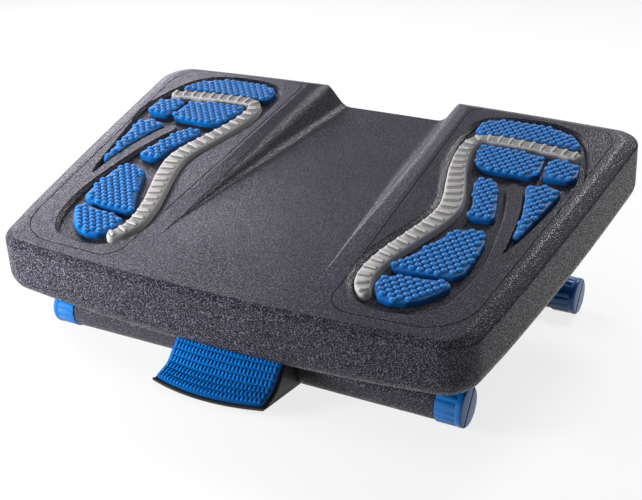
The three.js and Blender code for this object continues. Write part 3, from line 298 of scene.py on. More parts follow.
STRIP_SHARES = [
    (0.395, 0.328, 0.56), (0.208, 0.340, 0.6), (0.000, 0.347, 0.62), (-0.208, 0.350, 0.62),
    (-0.320, 0.338, 0.66), (-0.358, 0.286, 0.7), (-0.325, 0.186, 0.8), (-0.260, 0.100, 0.92),
    (-0.196, 0.018, 1), (-0.175, -0.043, 1), (-0.208, -0.121, 0.94), (-0.275, -0.207, 0.88),
    (-0.342, -0.296, 0.82), (-0.370, -0.386, 0.78), (-0.345, -0.432, 0.7), (-0.305, -0.458, 0.56),
]

# The pedal pad's curve: shares of its run and of its rise.
PEDAL_SHARES = [(0, 0), (0.36, 0.16), (0.56, 0.43), (0.74, 0.69), (1, 1)]

# Corners of the groove round the right foot panel in metres, with their roundings.
PANEL_CORNERS = [
    ((0.094, -0.147), 0.018), ((0.197, -0.143), 0.040),
    ((0.222, 0.152), 0.030), ((0.0845, 0.156), 0.014),
]

# Profiles of a rounded edge and of a small one: shares inwards and downwards of its radius.
ROUND_EDGE = [(1, 0), (0.5, 0.134), (0.134, 0.5), (0, 1)]
SMALL_EDGE = [(1, 0), (0.3, 0.3), (0, 1)]


# Plain geometry


# The most of an edge that the rounding at its corner takes up, as a share.
MOST_OF_EDGE = 0.45


def rounded(points, steps, closed=True):
    """Points with their corners rounded; each point is (place, radius)."""
    result = []
    count = len(points)
    for i, (corner, radius) in enumerate(points):
        if not radius or (not closed and i in (0, count - 1)):
            result.append(corner.copy())
            continue
        back = points[i - 1][0] - corner
        ahead = points[(i + 1) % count][0] - corner
        half = back.angle(ahead) / 2
        reach = radius / math.tan(half)
        reach = min(reach, MOST_OF_EDGE * back.length, MOST_OF_EDGE * ahead.length)
        start = corner + back.normalized() * reach
        end = corner + ahead.normalized() * reach
        for step in range(steps + 1):
            t = step / steps
            a, b, c = (1 - t) ** 2, 2 * t * (1 - t) * math.sin(half), t * t
            result.append((start * a + corner * b + end * c) / (a + b + c))
    return result


# The least gap between two points of a curve, so that doubled points divide by no zero.
LEAST_GAP = 1e-9


def smooth_curve(points, steps, closed):
    """A centripetal Catmull-Rom curve through the points."""
    count = len(points)
    spans = count if closed else count - 1

    def at(i):
        if closed:
            return points[i % count]
        if i < 0:
            return points[0] * 2 - points[1]
        if i >= count:
            return points[-1] * 2 - points[-2]
        return points[i]

    result = []
    for span in range(spans):
        p = [at(span + k) for k in (-1, 0, 1, 2)]
        knots = [0]
        for a, b in zip(p, p[1:]):
            knots.append(knots[-1] + math.sqrt(max((b - a).length, LEAST_GAP)))
        t0, t1, t2, t3 = knots
        for step in range(steps):
            t = t1 + (t2 - t1) * step / steps
            a1 = p[0] * ((t1 - t) / (t1 - t0)) + p[1] * ((t - t0) / (t1 - t0))
            a2 = p[1] * ((t2 - t) / (t2 - t1)) + p[2] * ((t - t1) / (t2 - t1))
            a3 = p[2] * ((t3 - t) / (t3 - t2)) + p[3] * ((t - t2) / (t3 - t2))
            b1 = a1 * ((t2 - t) / (t2 - t0)) + a2 * ((t - t0) / (t2 - t0))
            b2 = a2 * ((t3 - t) / (t3 - t1)) + a3 * ((t - t1) / (t3 - t1))
            result.append(b1 * ((t2 - t) / (t2 - t1)) + b2 * ((t - t1) / (t2 - t1)))
    if not closed:
        result.append(points[-1].copy())
    return result


def turning(points):
    """Twice the area that a closed outline holds, positive when it runs to the left."""
    return sum(a.x * b.y - b.x * a.y for a, b in zip(points, points[1:] + points[:1]))


def inset(points, distances):
    """A closed outline moved inwards, by one distance or by one for each point."""
    inward = 1 if turning(points) > 0 else -1
    count = len(points)
    result = []
    for i, point in enumerate(points):
        along = (points[(i + 1) % count] - points[i - 1]).to_2d().normalized()
        distance = distances[i] if isinstance(distances, list) else distances
        result.append(Vector((
            point.x - inward * along.y * distance, point.y + inward * along.x * distance
        )))
    return result


def inside(point, outline):
    """Whether a point lies inside a closed outline."""
    hit = False
    for a, b in zip(outline, outline[1:] + outline[:1]):
        if (a.y > point.y) != (b.y > point.y):
            if point.x < a.x + (b.x - a.x) * (point.y - a.y) / (b.y - a.y):
                hit = not hit
    return hit


def level(points, z):
    """An outline at a height."""
    return [Vector((p.x, p.y, z)) for p in points]


def even_shares(reach, steps):
    """Even steps from -reach to reach."""
    return [i / steps * 2 * reach - reach for i in range(steps + 1)]


def circle(x, y, radius, sides=32):
    return [Vector((
        x + radius * math.cos(2 * math.pi * i / sides),
        y + radius * math.sin(2 * math.pi * i / sides),
    )) for i in range(sides)]


def arc(x, y, radius, degrees):
    """Points on a circle at angles in degrees."""
    return [Vector((
        x + radius * math.cos(math.radians(a)), y + radius * math.sin(math.radians(a))
    )) for a in degrees]


def outline_of(corners):
    """A closed outline; each corner is x, y and its rounding."""
    return rounded([(Vector((x, y)), radius) for x, y, radius in corners], steps=6)


def rectangle(half_x, half_y, radius):
    return outline_of([
        (x * half_x, y * half_y, radius) for x, y in ((-1, -1), (1, -1), (1, 1), (-1, 1))
    ])


# Meshes


def finish_mesh(work, name, sharp=30.0):
    """Turns a bmesh into a mesh with outward faces and smooth shading up to an angle."""
    bmesh.ops.recalc_face_normals(work, faces=work.faces)
    mesh = bpy.data.meshes.new(name)
    work.to_mesh(mesh)
    work.free()
    shade(mesh, sharp)
    return mesh


def shade(mesh, sharp):
    mesh.shade_smooth()
    mesh.set_sharp_from_angle(angle=math.radians(sharp))


def skin(work, rings):
    """Joins rings of vertices with four-sided faces."""
    for low, high in zip(rings, rings[1:]):
        count = len(low)
        for i in range(count):
            j = (i + 1) % count
            work.faces.new((low[i], low[j], high[j], high[i]))


def loft(name, rings, ring_loop=False, sharp=30.0):
    """A closed mesh through rings of points. ring_loop joins the last ring to the first."""
    work = bmesh.new()
    rows = [[work.verts.new(p) for p in ring] for ring in rings]
    if ring_loop:
        skin(work, [*rows, rows[0]])
    else:
        skin(work, rows)
        work.faces.new(reversed(rows[0]))
        work.faces.new(rows[-1])
    return finish_mesh(work, name, sharp)


def box_mesh(name, low, high, rounding=0.0):
    """A block with rounded edges."""
    work = bmesh.new()
    bmesh.ops.create_cube(work, size=1)
    for vert in work.verts:
        for axis in range(3):
            vert.co[axis] = low[axis] if vert.co[axis] < 0 else high[axis]
    if rounding:
        bmesh.ops.bevel(
            work, geom=list(work.edges), offset=rounding, segments=2, profile=0.5, affect="EDGES"
        )
    return finish_mesh(work, name)


def slab(name, outline, low, high, edge=0.0):
    """An outline pulled up from low to high, with rounded edges."""
    if not edge:
        return loft(name, [level(outline, low), level(outline, high)])
    steps = [(edge * inward, edge * down) for inward, down in SMALL_EDGE]
    levels = [(d, low + up) for d, up in steps] + [(d, high - up) for d, up in reversed(steps)]
    return loft(name, [level(inset(outline, d), z) for d, z in levels])


# Turns a slab that stands along Z so that it stands along X.
ALONG_X = Matrix(((0, 0, 1, 0), (1, 0, 0, 0), (0, 1, 0, 0), (0, 0, 0, 1)))


def bar_x(name, x0, x1, y, z, radius, edge=0.0, sides=64):
    """A round bar along X with rounded ends."""
    steps = [(edge * down, edge * inward) for inward, down in SMALL_EDGE] if edge else [(0, 0)]
    profile = [(x0 + along, radius - shrink) for along, shrink in steps]
    profile += [(x1 - along, radius - shrink) for along, shrink in reversed(steps)]
    middle = Vector((y, z))
    rings = []
    for x, reach in profile:
        outline = circle(middle.x, middle.y, reach, sides)
        rings.append([Vector((x, p.x, p.y)) for p in outline])
    return loft(name, rings)


def mirrored(make):
    """A mesh made for the right side and its mirror image."""
    left = make()
    left.transform(Matrix.Scale(-1, 4, (1, 0, 0)))
    left.flip_normals()
    return [make(), left]


def evaluated(holder, name):
    """The mesh of an object with its modifiers applied."""
    depsgraph = bpy.context.evaluated_depsgraph_get()
    depsgraph.update()
    mesh = bpy.data.meshes.new_from_object(holder.evaluated_get(depsgraph))
    mesh.name = name
    return mesh


def holder_of(mesh, name="tool"):
    holder = bpy.data.objects.new(name, mesh)
    bpy.context.scene.collection.objects.link(holder)
    return holder


def combine(mesh, others, operation="DIFFERENCE", sharp=30.0):
    """Cuts other meshes from a mesh, or joins them to it."""
    target = holder_of(mesh, "target")
    tools = [holder_of(other) for other in others]
    for tool in tools:
        step = target.modifiers.new("step", "BOOLEAN")
        step.solver = "MANIFOLD"
        step.operation = operation
        step.object = tool
    result = evaluated(target, mesh.name)
    for tool in [target, *tools]:
        bpy.data.objects.remove(tool)
    shade(result, sharp)
    return result


def placed(mesh, matrix):
    mesh.transform(matrix)
    return mesh


def piece(name, mesh, body, slot, look, *nodes):
    """Adds a finished piece, which rides on a body and stands for CAD nodes."""
    mesh.name = name
    mesh.materials.clear()
    mesh.materials.append(look)
    item = bpy.data.objects.new(name, mesh)
    bpy.context.scene.collection.objects.link(item)
    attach(item, body)
    if nodes:
        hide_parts(*nodes)
    return item


# A face above this area, in square metres, is shaded flat up to its edges.
WIDE_FACE = 0.003

# Faces that meet below this angle, in radians, are merged.
FLAT_ANGLE = 0.003


def weighted(mesh, sharp=35.0):
    """The same mesh with its flat faces merged and kept flat in shading."""
    work = bmesh.new()
    work.from_mesh(mesh)
    bmesh.ops.dissolve_limit(
        work, angle_limit=FLAT_ANGLE, verts=work.verts, edges=work.edges,
        use_dissolve_boundaries=False,
    )
    work.to_mesh(mesh)
    shade(mesh, sharp)
    work.clear()
    work.from_mesh(mesh)
    for face in work.faces:
        if face.calc_area() > WIDE_FACE:
            for edge in face.edges:
                edge.smooth = False
    work.to_mesh(mesh)
    work.free()
    holder = holder_of(mesh)
    step = holder.modifiers.new("normals", "WEIGHTED_NORMAL")
    step.keep_sharp = True
    result = evaluated(holder, mesh.name)
    bpy.data.objects.remove(holder)
    return result


# Geometry Nodes


def new_tree(name, sizes):
    """A geometry tree with a geometry in and out, a copy, a material and named sizes."""
    tree = bpy.data.node_groups.new(name, "GeometryNodeTree")
    face = tree.interface
    face.new_socket("Geometry", in_out="INPUT", socket_type="NodeSocketGeometry")
    face.new_socket("Copy", in_out="INPUT", socket_type="NodeSocketObject")
    face.new_socket("Material", in_out="INPUT", socket_type="NodeSocketMaterial")
    for size in sizes:
        face.new_socket(size, in_out="INPUT", socket_type="NodeSocketFloat")
    face.new_socket("Geometry", in_out="OUTPUT", socket_type="NodeSocketGeometry")
    return tree


def link(tree, source, output, target, entry):
    tree.links.new(source.outputs[output], target.inputs[entry])


def copies_tree(name, along_path):
    """Copies a shape at points, or at a pitch along a path, and sizes each copy."""
    sizes = ["Length", "Width", "Height"] + (["Pitch"] if along_path else [])
    tree = new_tree(name, sizes)
    add = tree.nodes.new
    entry = add("NodeGroupInput")
    instances = add("GeometryNodeInstanceOnPoints")
    shape = add("GeometryNodeObjectInfo")
    link(tree, entry, "Copy", shape, "Object")
    link(tree, shape, "Geometry", instances, "Instance")
    if along_path:
        curve = add("GeometryNodeMeshToCurve")
        resample = add("GeometryNodeResampleCurve")
        resample.mode = "LENGTH"
        link(tree, entry, "Geometry", curve, "Mesh")
        link(tree, curve, "Curve", resample, "Curve")
        link(tree, entry, "Pitch", resample, "Length")
        link(tree, resample, "Curve", instances, "Points")
        tangent = add("GeometryNodeInputTangent")
        turn = add("FunctionNodeAlignRotationToVector")
        turn.axis = "X"
        turn.pivot_axis = "Z"
        link(tree, tangent, "Tangent", turn, "Vector")
        link(tree, turn, "Rotation", instances, "Rotation")
    else:
        angles = add("ShaderNodeCombineXYZ")
        link(tree, entry, "Geometry", instances, "Points")
        for title, axis in (("lean", "X"), ("turn", "Z")):
            angle = add("GeometryNodeInputNamedAttribute")
            angle.data_type = "FLOAT"
            angle.inputs["Name"].default_value = title
            link(tree, angle, "Attribute", angles, axis)
        link(tree, angles, "Vector", instances, "Rotation")
    spread = add("GeometryNodeInputNamedAttribute")
    spread.data_type = "FLOAT"
    spread.inputs["Name"].default_value = "spread"
    widen = add("ShaderNodeMath")
    widen.operation = "MULTIPLY"
    link(tree, entry, "Width", widen, 0)
    link(tree, spread, "Attribute", widen, 1)
    scale = add("ShaderNodeCombineXYZ")
    link(tree, entry, "Length", scale, "X")
    link(tree, widen, "Value", scale, "Y")
    link(tree, entry, "Height", scale, "Z")
    link(tree, scale, "Vector", instances, "Scale")
    realize = add("GeometryNodeRealizeInstances")
    paint = add("GeometryNodeSetMaterial")
    leave = add("NodeGroupOutput")
    link(tree, instances, "Instances", realize, "Geometry")
    link(tree, realize, "Geometry", paint, "Geometry")
    link(tree, entry, "Material", paint, "Material")
    link(tree, paint, "Geometry", leave, "Geometry")
    return tree


def point_mesh(name, points, spreads=None, turns=None, leans=None, chained=False):
    """A mesh of bare points, or of a chain of edges, with each copy's own size and turns."""
    mesh = bpy.data.meshes.new(name)
    edges = [(i, i + 1) for i in range(len(points) - 1)] if chained else []
    mesh.from_pydata([tuple(p) for p in points], edges, [])
    for title, values in (("spread", spreads), ("turn", turns), ("lean", leans)):
        store = mesh.attributes.new(title, "FLOAT", "POINT")
        default = 1.0 if title == "spread" else 0.0
        store.data.foreach_set("value", values or [default] * len(points))
    return mesh


def copies(name, points, copy, look, sizes, along_path=False):
    """Runs a copying tree on points and returns the plain mesh that it makes."""
    tree = copies_tree(name, along_path)
    holder = holder_of(points, name)
    shape = holder_of(copy, "copy")
    step = holder.modifiers.new("copies", "NODES")
    step.node_group = tree
    values = {"Copy": shape, "Material": look, **sizes}
    for item in tree.interface.items_tree:
        if item.in_out == "INPUT" and item.name in values:
            step[item.identifier] = values[item.name]
    result = evaluated(holder, name)
    for gone in (holder, shape):
        bpy.data.objects.remove(gone)
    bpy.data.node_groups.remove(tree)
    return result


def dome(name, sides, rows):
    """A unit dome, closed underneath."""
    work = bmesh.new()
    rings = []
    for row in range(rows):
        angle = math.pi / 2 * row / rows
        radius = math.cos(angle)
        ring = []
        for i in range(sides):
            turn = 2 * math.pi * (i + 0.5) / sides
            place = (radius * math.cos(turn), radius * math.sin(turn), math.sin(angle))
            ring.append(work.verts.new(place))
        rings.append(ring)
    skin(work, rings)
    top = rings[-1]
    tip = work.verts.new((0, 0, 1))
    for i in range(sides):
        work.faces.new((top[i], top[(i + 1) % sides], tip))
    work.faces.new(reversed(rings[0]))
    return finish_mesh(work, name, sharp=60.0)


# A cushion's outline as a share of its width, and the height at which it lies.
CUSHION_LEVELS = [(1.0, -0.25), (1.0, 0.35), (0.93, 0.72), (0.78, 0.94), (0.6, 1.0)]


def pillow(name):
    """A unit cushion with a flat top and rounded corners, for a rib or a fin."""
    corners = [(Vector((x, y)), 0.5) for x, y in ((1, -1), (1, 1), (-1, 1), (-1, -1))]
    outline = rounded(corners, steps=3)
    rings = [level([p * share for p in outline], z) for share, z in CUSHION_LEVELS]
    return loft(name, rings, sharp=60.0)


# Materials


def shader(name, base, roughness):
    """A new material with its main shader and object coordinates."""
    look = bpy.data.materials.new(name)
    look.use_nodes = True
    nodes = look.node_tree.nodes
    main = nodes["Principled BSDF"]
    main.inputs["Base Color"].default_value = (*base, 1)
    main.inputs["Roughness"].default_value = roughness
    place = nodes.new("ShaderNodeTexCoord")
    mapping = nodes.new("ShaderNodeMapping")
    link(look.node_tree, place, "Object", mapping, "Vector")
    return look, main, mapping


def noise(look, mapping, grain, detail):
    """A noise whose grain has this size in metres."""
    texture = look.node_tree.nodes.new("ShaderNodeTexNoise")
    texture.inputs["Scale"].default_value = 1 / grain
    texture.inputs["Detail"].default_value = detail
    link(look.node_tree, mapping, "Vector", texture, "Vector")
    return texture


def ramp(look, source, low, high, start, end):
    """A noise spread between two places into colours."""
    spread = look.node_tree.nodes.new("ShaderNodeValToRGB")
    first, last = spread.color_ramp.elements
    first.position, last.position = low, high
    first.color, last.color = (*start, 1), (*end, 1)
    link(look.node_tree, source, "Fac", spread, "Fac")
    return spread


def tone(look, main, source, low, high, start, end):
    """Lets a noise lead the colour from one to another."""
    spread = ramp(look, source, low, high, start, end)
    link(look.node_tree, spread, "Color", main, "Base Color")


def shine(look, main, source, low, high, start, end):
    """Lets a noise lead the roughness from one value to another."""
    spread = ramp(look, source, low, high, (start,) * 3, (end,) * 3)
    link(look.node_tree, spread, "Color", main, "Roughness")


def bump(look, main, height, strength, distance):
    """Lets a noise stand out from the surface."""
    raised = look.node_tree.nodes.new("ShaderNodeBump")
    raised.inputs["Strength"].default_value = strength
    raised.inputs["Distance"].default_value = distance
    link(look.node_tree, height, "Fac", raised, "Height")
    link(look.node_tree, raised, "Normal", main, "Normal")


def textured_plastic(name, base, glint_colour):
    """Moulded black plastic with a spark-eroded grain that glints, and bright flecks in its colour that paint more
    glints on.
    """
    look, main, mapping = shader(name, base, roughness=0.4)
    main.inputs["Specular IOR Level"].default_value = 0.2
    grain = noise(look, mapping, grain=0.001, detail=0.0)
    cloud = noise(look, mapping, grain=0.05, detail=2.0)
    # Bright flecks mixed into the base colour: painted glints.
    glint_flecks = ramp(look, grain, 0.50, 0.72, base, glint_colour)
    soft = ramp(look, cloud, 0.3, 0.7, (0.88,) * 3, (1.1,) * 3)
    mix = look.node_tree.nodes.new("ShaderNodeMix")
    mix.data_type = "RGBA"
    mix.blend_type = "MULTIPLY"
    mix.inputs["Factor"].default_value = 1
    link(look.node_tree, glint_flecks, "Color", mix, "A")
    link(look.node_tree, soft, "Color", mix, "B")
    link(look.node_tree, mix, "Result", main, "Base Color")
    shine(look, main, grain, 0.44, 0.60, 0.60, 0.20)
    bump(look, main, grain, strength=0.7, distance=0.0004)
    return look


def moulded_plastic(name, base, roughness, grain=0.0009, strength=0.15):
    """Plain moulded plastic with a fine satin grain and faint flow marks."""
    look, main, mapping = shader(name, base, roughness)
    main.inputs["Specular IOR Level"].default_value = 0.4
    fine = noise(look, mapping, grain, detail=2.0)
    cloud = noise(look, mapping, grain=0.03, detail=3.0)
    dark = tuple(c * 0.88 for c in base)
    light = tuple(min(c * 1.12, 1) for c in base)
    tone(look, main, cloud, 0.3, 0.7, dark, light)
    shine(look, main, cloud, 0.3, 0.7, roughness * 0.88, roughness * 1.12)
    bump(look, main, fine, strength, distance=0.0003)
    return look


def soft_rubber(name, base, roughness):
    """Soft moulded rubber, a little dusty in its hollows."""
    look, main, mapping = shader(name, base, roughness)
    main.inputs["Specular IOR Level"].default_value = 0.3
    fine = noise(look, mapping, grain=0.0007, detail=3.0)
    cloud = noise(look, mapping, grain=0.018, detail=3.0)
    dusty = tuple(0.94 * c + 0.003 for c in base)
    tone(look, main, cloud, 0.35, 0.75, base, dusty)
    bump(look, main, fine, strength=0.2, distance=0.0002)
    return look


def drawn_steel(name, base, roughness):
    """Steel with fine drawing lines along X."""
    look, main, mapping = shader(name, base, roughness)
    main.inputs["Metallic"].default_value = 1
    mapping.inputs["Scale"].default_value = (0.08, 1, 1)
    lines = noise(look, mapping, grain=0.0008, detail=3.0)
    tone(look, main, lines, 0.3, 0.7, tuple(c * 0.8 for c in base), base)
    bump(look, main, lines, strength=0.15, distance=0.0001)
    return look


LOOKS = {}


def make_looks(tints):
    """The finishes: one for each of the record's material slots, and three more: the frame's textured plastic, and
    two darker ones that paint shade between the pads' pips and fins and between the strips' ribs.
    """
    LOOKS["textured_black"] = textured_plastic("Deck plastic", tints.deck, tints.deck_glint)
    LOOKS["plain_black"] = moulded_plastic("Base plastic", tints.base, 0.45)
    # The frame's plastic takes the same flecks: painted glints.
    LOOKS["bar_black"] = textured_plastic("Frame plastic", tints.base, tints.deck_glint)
    LOOKS["pad_blue"] = soft_rubber("Pad rubber", tints.pad, 0.42)
    # Painted shade: the darker blue between the pips and between the fins.
    LOOKS["pad_foot"] = soft_rubber("Pad foot", tints.pad_foot, 0.5)
    LOOKS["cap_blue"] = moulded_plastic("Cap plastic", tints.cap, 0.34, grain=0.0012, strength=0.05)
    LOOKS["strip_grey"] = soft_rubber("Strip rubber", tints.strip, 0.55)
    # Painted shade: the darker grey of the cells between the ribs.
    LOOKS["strip_dark"] = soft_rubber("Strip cells", tints.strip_shade_cell, 0.6)
    LOOKS["bright_steel"] = drawn_steel("Zinc steel", tints.steel, 0.35)
    LOOKS["painted_steel"] = moulded_plastic(
        "Steel paint", tints.painted, 0.42, grain=0.0016, strength=0.1
    )
    LOOKS["acetal_white"] = moulded_plastic("Bush acetal", tints.acetal, 0.4)
    LOOKS["lining_rubber"] = soft_rubber("Lining rubber", tints.lining, 0.8)


# The deck


def edge_height(deck, y):
    """Height of the deck's top edge above the hinge at a place along the deck."""
    return panel_height(deck, y) - deck.band_rise


def rim_height(deck, place):
    """Height of the lower rim, which sweeps up to the toe edge and arches up to the sides."""
    share = place.y / deck.depth + 0.5
    half_width = (deck.front_width + (deck.rear_width - deck.front_width) * share) / 2
    sweep = deck.rim_sweep * min(max(share, 0), 1) ** 2
    return sweep + deck.rim_arch * (place.x / half_width) ** 2 - deck.rim_drop


def deck_matrix(deck):
    """Deck coordinates to the frame at rest."""
    return Matrix.Translation(HINGE) @ Matrix.Rotation(deck.tilt, 4, "X")


def panel_slope(deck):
    return math.atan2(deck.rear_height - deck.front_height, deck.depth)


def panel_centre(deck):
    return (deck.front_height + deck.rear_height) / 2 + deck.band_rise


def panel_height(deck, y):
    """Height of the foot panels' plane at a place along the deck."""
    return panel_centre(deck) + y * math.tan(panel_slope(deck))


def deck_to_panel(deck):
    """Panel coordinates to deck coordinates."""
    centre = Matrix.Translation((0, 0, panel_centre(deck)))
    return centre @ Matrix.Rotation(panel_slope(deck), 4, "X")


def panel_matrix(deck):
    """Panel coordinates to the frame at rest."""
    return deck_matrix(deck) @ deck_to_panel(deck)


# Shares of half the deck's ends and sides on which their bow has points.
END_REACH = 0.7
FLANK_REACH = 0.6


def deck_outline(deck, distance, heel_distance):
    """The deck seen from above, inset all round, with its own distance at the heel edge."""
    half_depth = deck.depth / 2 - distance
    radius = max(deck.corner_radius - distance, deck.corner_radius / 2)
    middle = (deck.front_width + deck.rear_width) / 4
    flare = (deck.rear_width - deck.front_width) / 2 / deck.depth

    def side(share):
        return middle + flare * share * half_depth - distance - deck.side_bow * share ** 2

    def end(share):
        return half_depth - deck.end_bow * share ** 2

    def heel(share):
        return deck.depth / 2 - heel_distance - deck.end_bow * share ** 2

    ends = even_shares(END_REACH, 16)
    flanks = even_shares(FLANK_REACH, 8)
    points = [(Vector((s * side(-1), -heel(s))), 0) for s in ends]
    points.append((Vector((side(-1), -heel(1))), radius))
    points += [(Vector((side(s), s * half_depth)), 0) for s in flanks]
    points.append((Vector((side(1), end(1))), radius))
    points += [(Vector((-s * side(1), end(s))), 0) for s in ends]
    points.append((Vector((-side(1), end(1))), radius))
    points += [(Vector((-side(-s), -s * half_depth)), 0) for s in flanks]
    points.append((Vector((-side(-1), -heel(1))), radius))
    return rounded(points, steps=12)


def deck_ring(deck, distance, height, heel_distance=None):
    """The deck's outline, inset and raised to the height that each of its places has."""
    outline = deck_outline(deck, distance, distance if heel_distance is None else heel_distance)
    return [Vector((p.x, p.y, height(p))) for p in outline]


def above_rim(deck, rise):
    return lambda place: rim_height(deck, place) + rise


def under_edge(deck, drop):
    return lambda place: edge_height(deck, place.y) - drop


def under_panel(deck, drop):
    return lambda place: panel_height(deck, place.y) - drop


# Roundings at the band's outer and inner edges in metres: inwards, and down from the top.
BAND_OUTER = [(0.0002, 0.0018), (0.0003, 0.0008), (0.0009, 0.0002), (0.0019, -0.0004)]
BAND_INNER = [(-0.0014, 0.0006), (0, 0.0002), (0.0018, 0)]

RIM_STEPS = 10


def deck_outer(deck):
    """The deck's outside as a closed solid, with its edges rounded."""
    rings = [deck_ring(deck, deck.rim_inset + deck.wall + PAST, above_rim(deck, 0))]
    for i in range(RIM_STEPS + 1):
        angle = math.pi / 2 * (1 - i / RIM_STEPS)
        turned_in = (deck.rim_inset - deck.draft) * (1 - math.cos(angle))
        height = above_rim(deck, deck.rim_round * (1 - math.sin(angle)))
        rings.append(deck_ring(deck, deck.draft + turned_in, height))
    bands = [(inwards, under_edge(deck, down)) for inwards, down in BAND_OUTER]
    bands += [(deck.band_width + past, under_panel(deck, down)) for past, down in BAND_INNER]
    narrow = deck.heel_band_width / deck.band_width
    for distance, height in bands:
        heel_distance = deck.heel_band_inset + narrow * distance
        rings.append(deck_ring(deck, distance, height, heel_distance))
    return loft("deck_shell", rings, sharp=40.0)


VALLEY_STEPS = 24


def valley_cutter(deck, valley, swell=0.0):
    """The valley as a solid, swollen by a wall's thickness for the skin under it."""
    front, rear = -deck.depth / 2, deck.depth / 2
    tip = front + valley.tip_setback
    slope = valley.depth / (rear - tip)
    # The cutter starts ahead of the tip, a little above the panel, and ends past the toe edge.
    lead, lift, tail = 2.2 * valley.blend, 0.0006, 0.006
    # It's wider than its shoulders and higher than the panel.
    beyond, top = 0.01, panel_height(deck, rear) + 0.02
    # Least widths of its walls, plain and swollen, and the least slope of its shoulders.
    plain_wall, swollen_wall, least_slope = 0.001, 0.0008, 0.02
    rings = []
    for i in range(VALLEY_STEPS + 1):
        y = tip - lead + (rear + tail - tip + lead) * i / VALLEY_STEPS
        along = y - tip
        share = min(max(along / (rear - tip), 0), 1)
        depth = slope * (along + math.sqrt(along ** 2 + valley.blend ** 2)) / 2 - lift
        floor = (valley.tip_width + (valley.floor_width - valley.tip_width) * share) / 2
        ridge = (valley.tip_width + (valley.ridge_width - valley.tip_width) * share) / 2
        ridge = max(ridge, floor + plain_wall) + swell / 2
        floor = min(floor + swell / 2, ridge - swollen_wall)
        panel = panel_height(deck, y) - swell
        drop = min(valley.shoulder_drop * share, max(depth, 0) * 0.9)
        outer = ridge + valley.shoulder_width
        steep = max(drop / valley.shoulder_width, least_slope)
        half = [
            (Vector((0, panel - depth)), 0),
            (Vector((floor, panel - depth)), valley.floor_round),
            (Vector((ridge, panel - drop)), valley.ridge_round),
            (Vector((outer + beyond, panel + beyond * steep)), 0),
        ]
        curve = rounded(half, steps=8, closed=False)
        curve.append(Vector((outer + beyond, top)))
        mirrored = [Vector((-p.x, p.y)) for p in reversed(curve)]
        rings.append([Vector((p.x, y, p.y)) for p in mirrored[:-1] + curve])
    return loft("valley", rings)


def foot_place(feet, share, side):
    return Vector((
        side * (feet.spacing / 2 + share[0] * feet.width), feet.shift + share[1] * feet.foot_length
    ))


# The narrowest lip of a recess, in metres.
LEAST_LIP = 0.0006


def pocket_outline(feet, side, steps=5):
    """A recess's edge, with the width of its lip at each point."""
    points = []
    for share in POCKET_SHARES:
        place = foot_place(feet, share, side)
        points.append(Vector((place.x, place.y, share[2] * feet.pocket_lip)))
    curve = smooth_curve(points, steps, True)
    return [p.to_2d() for p in curve], [max(p.z, LEAST_LIP) for p in curve]


# A recess's edge: share of the lip, millimetres past it, and the depth there as a share.
POCKET_PROFILE = [
    (1.03, 0, 1), (0.98, 0, 0.98), (0.955, 0, 0.90), (0.95, 0, 0.66), (0.92, 0, 0.61),
    (0.65, 0, 0.45), (0.35, 0, 0.29), (0.10, 0, 0.17), (0.0, 0.15, 0.10), (0.0, -0.10, 0.04),
    (0.0, -0.50, 0), (0.0, -1.0, -0.05),
]


def pocket_cutter(deck, feet, side):
    """A foot recess with a crisp edge and a hollow lip."""
    edge, lips = pocket_outline(feet, side)
    rings = []
    for share, past, deep in POCKET_PROFILE:
        distances = [lip * share + past / 1000 for lip in lips]
        rings.append(level(inset(edge, distances), -feet.pocket_depth * deep))
    return placed(loft("recess", rings), deck_to_panel(deck))


def pocket_tub(deck, feet, side):
    """The recess's underside, a wall's thickness below it."""
    edge, lips = pocket_outline(feet, side, steps=1)
    wall = deck.wall
    low = level(inset(edge, [lip - wall for lip in lips]), -feet.pocket_depth - wall)
    high = level(inset(edge, -wall), -wall / 2)
    return placed(loft("tub", [low, high]), deck_to_panel(deck))


def groove_cutter(deck, feet, side):
    """The fine line round a foot panel."""
    corners = [(Vector((side * x, y)), radius) for (x, y), radius in PANEL_CORNERS]
    path = rounded(corners, steps=10)
    half, deep = feet.groove_width / 2, -feet.groove_depth
    floor = half * 0.4
    levels = [(-half, PAST), (-half, 0), (-floor, deep), (floor, deep), (half, 0), (half, PAST)]
    rings = [level(inset(path, distance), z) for distance, z in levels]
    return placed(loft("groove", rings, ring_loop=True), deck_to_panel(deck))


# Ribs under the deck's top in metres: half their thickness, and their places along X and Y.
RIB_HALF = 0.00125
RIB_PLACE = (0.088, 0.080)


def rib_meshes(deck):
    """The ribs under the deck's top."""
    across, along = deck.rear_width / 2, deck.depth / 2
    ribs = []
    for side in SIDES.values():
        x, y = side * RIB_PLACE[0], side * RIB_PLACE[1]
        ribs.append(box_mesh(
            "rib", (x - RIB_HALF, -along, -deck.rib_height), (x + RIB_HALF, along, 0)
        ))
        ribs.append(box_mesh(
            "rib", (-across, y - RIB_HALF, -deck.rib_height), (across, y + RIB_HALF, 0)
        ))
    return [placed(rib, deck_to_panel(deck)) for rib in ribs]


# Screw bosses under the deck, above the brackets and the brake sector, in metres.
BOSS_PLACES = [(x, y) for x in (-0.0584, 0.0584) for y in (-0.020, 0.020)]
BOSS_PLACES += [(-0.010, 0), (0.010, 0)]
BOSS_RADIUS = 0.005
BOSS_ENDS = (0.0243, 0.070)


def boss_meshes():
    return [slab("boss", circle(x, y, BOSS_RADIUS, sides=24), *BOSS_ENDS) for x, y in BOSS_PLACES]


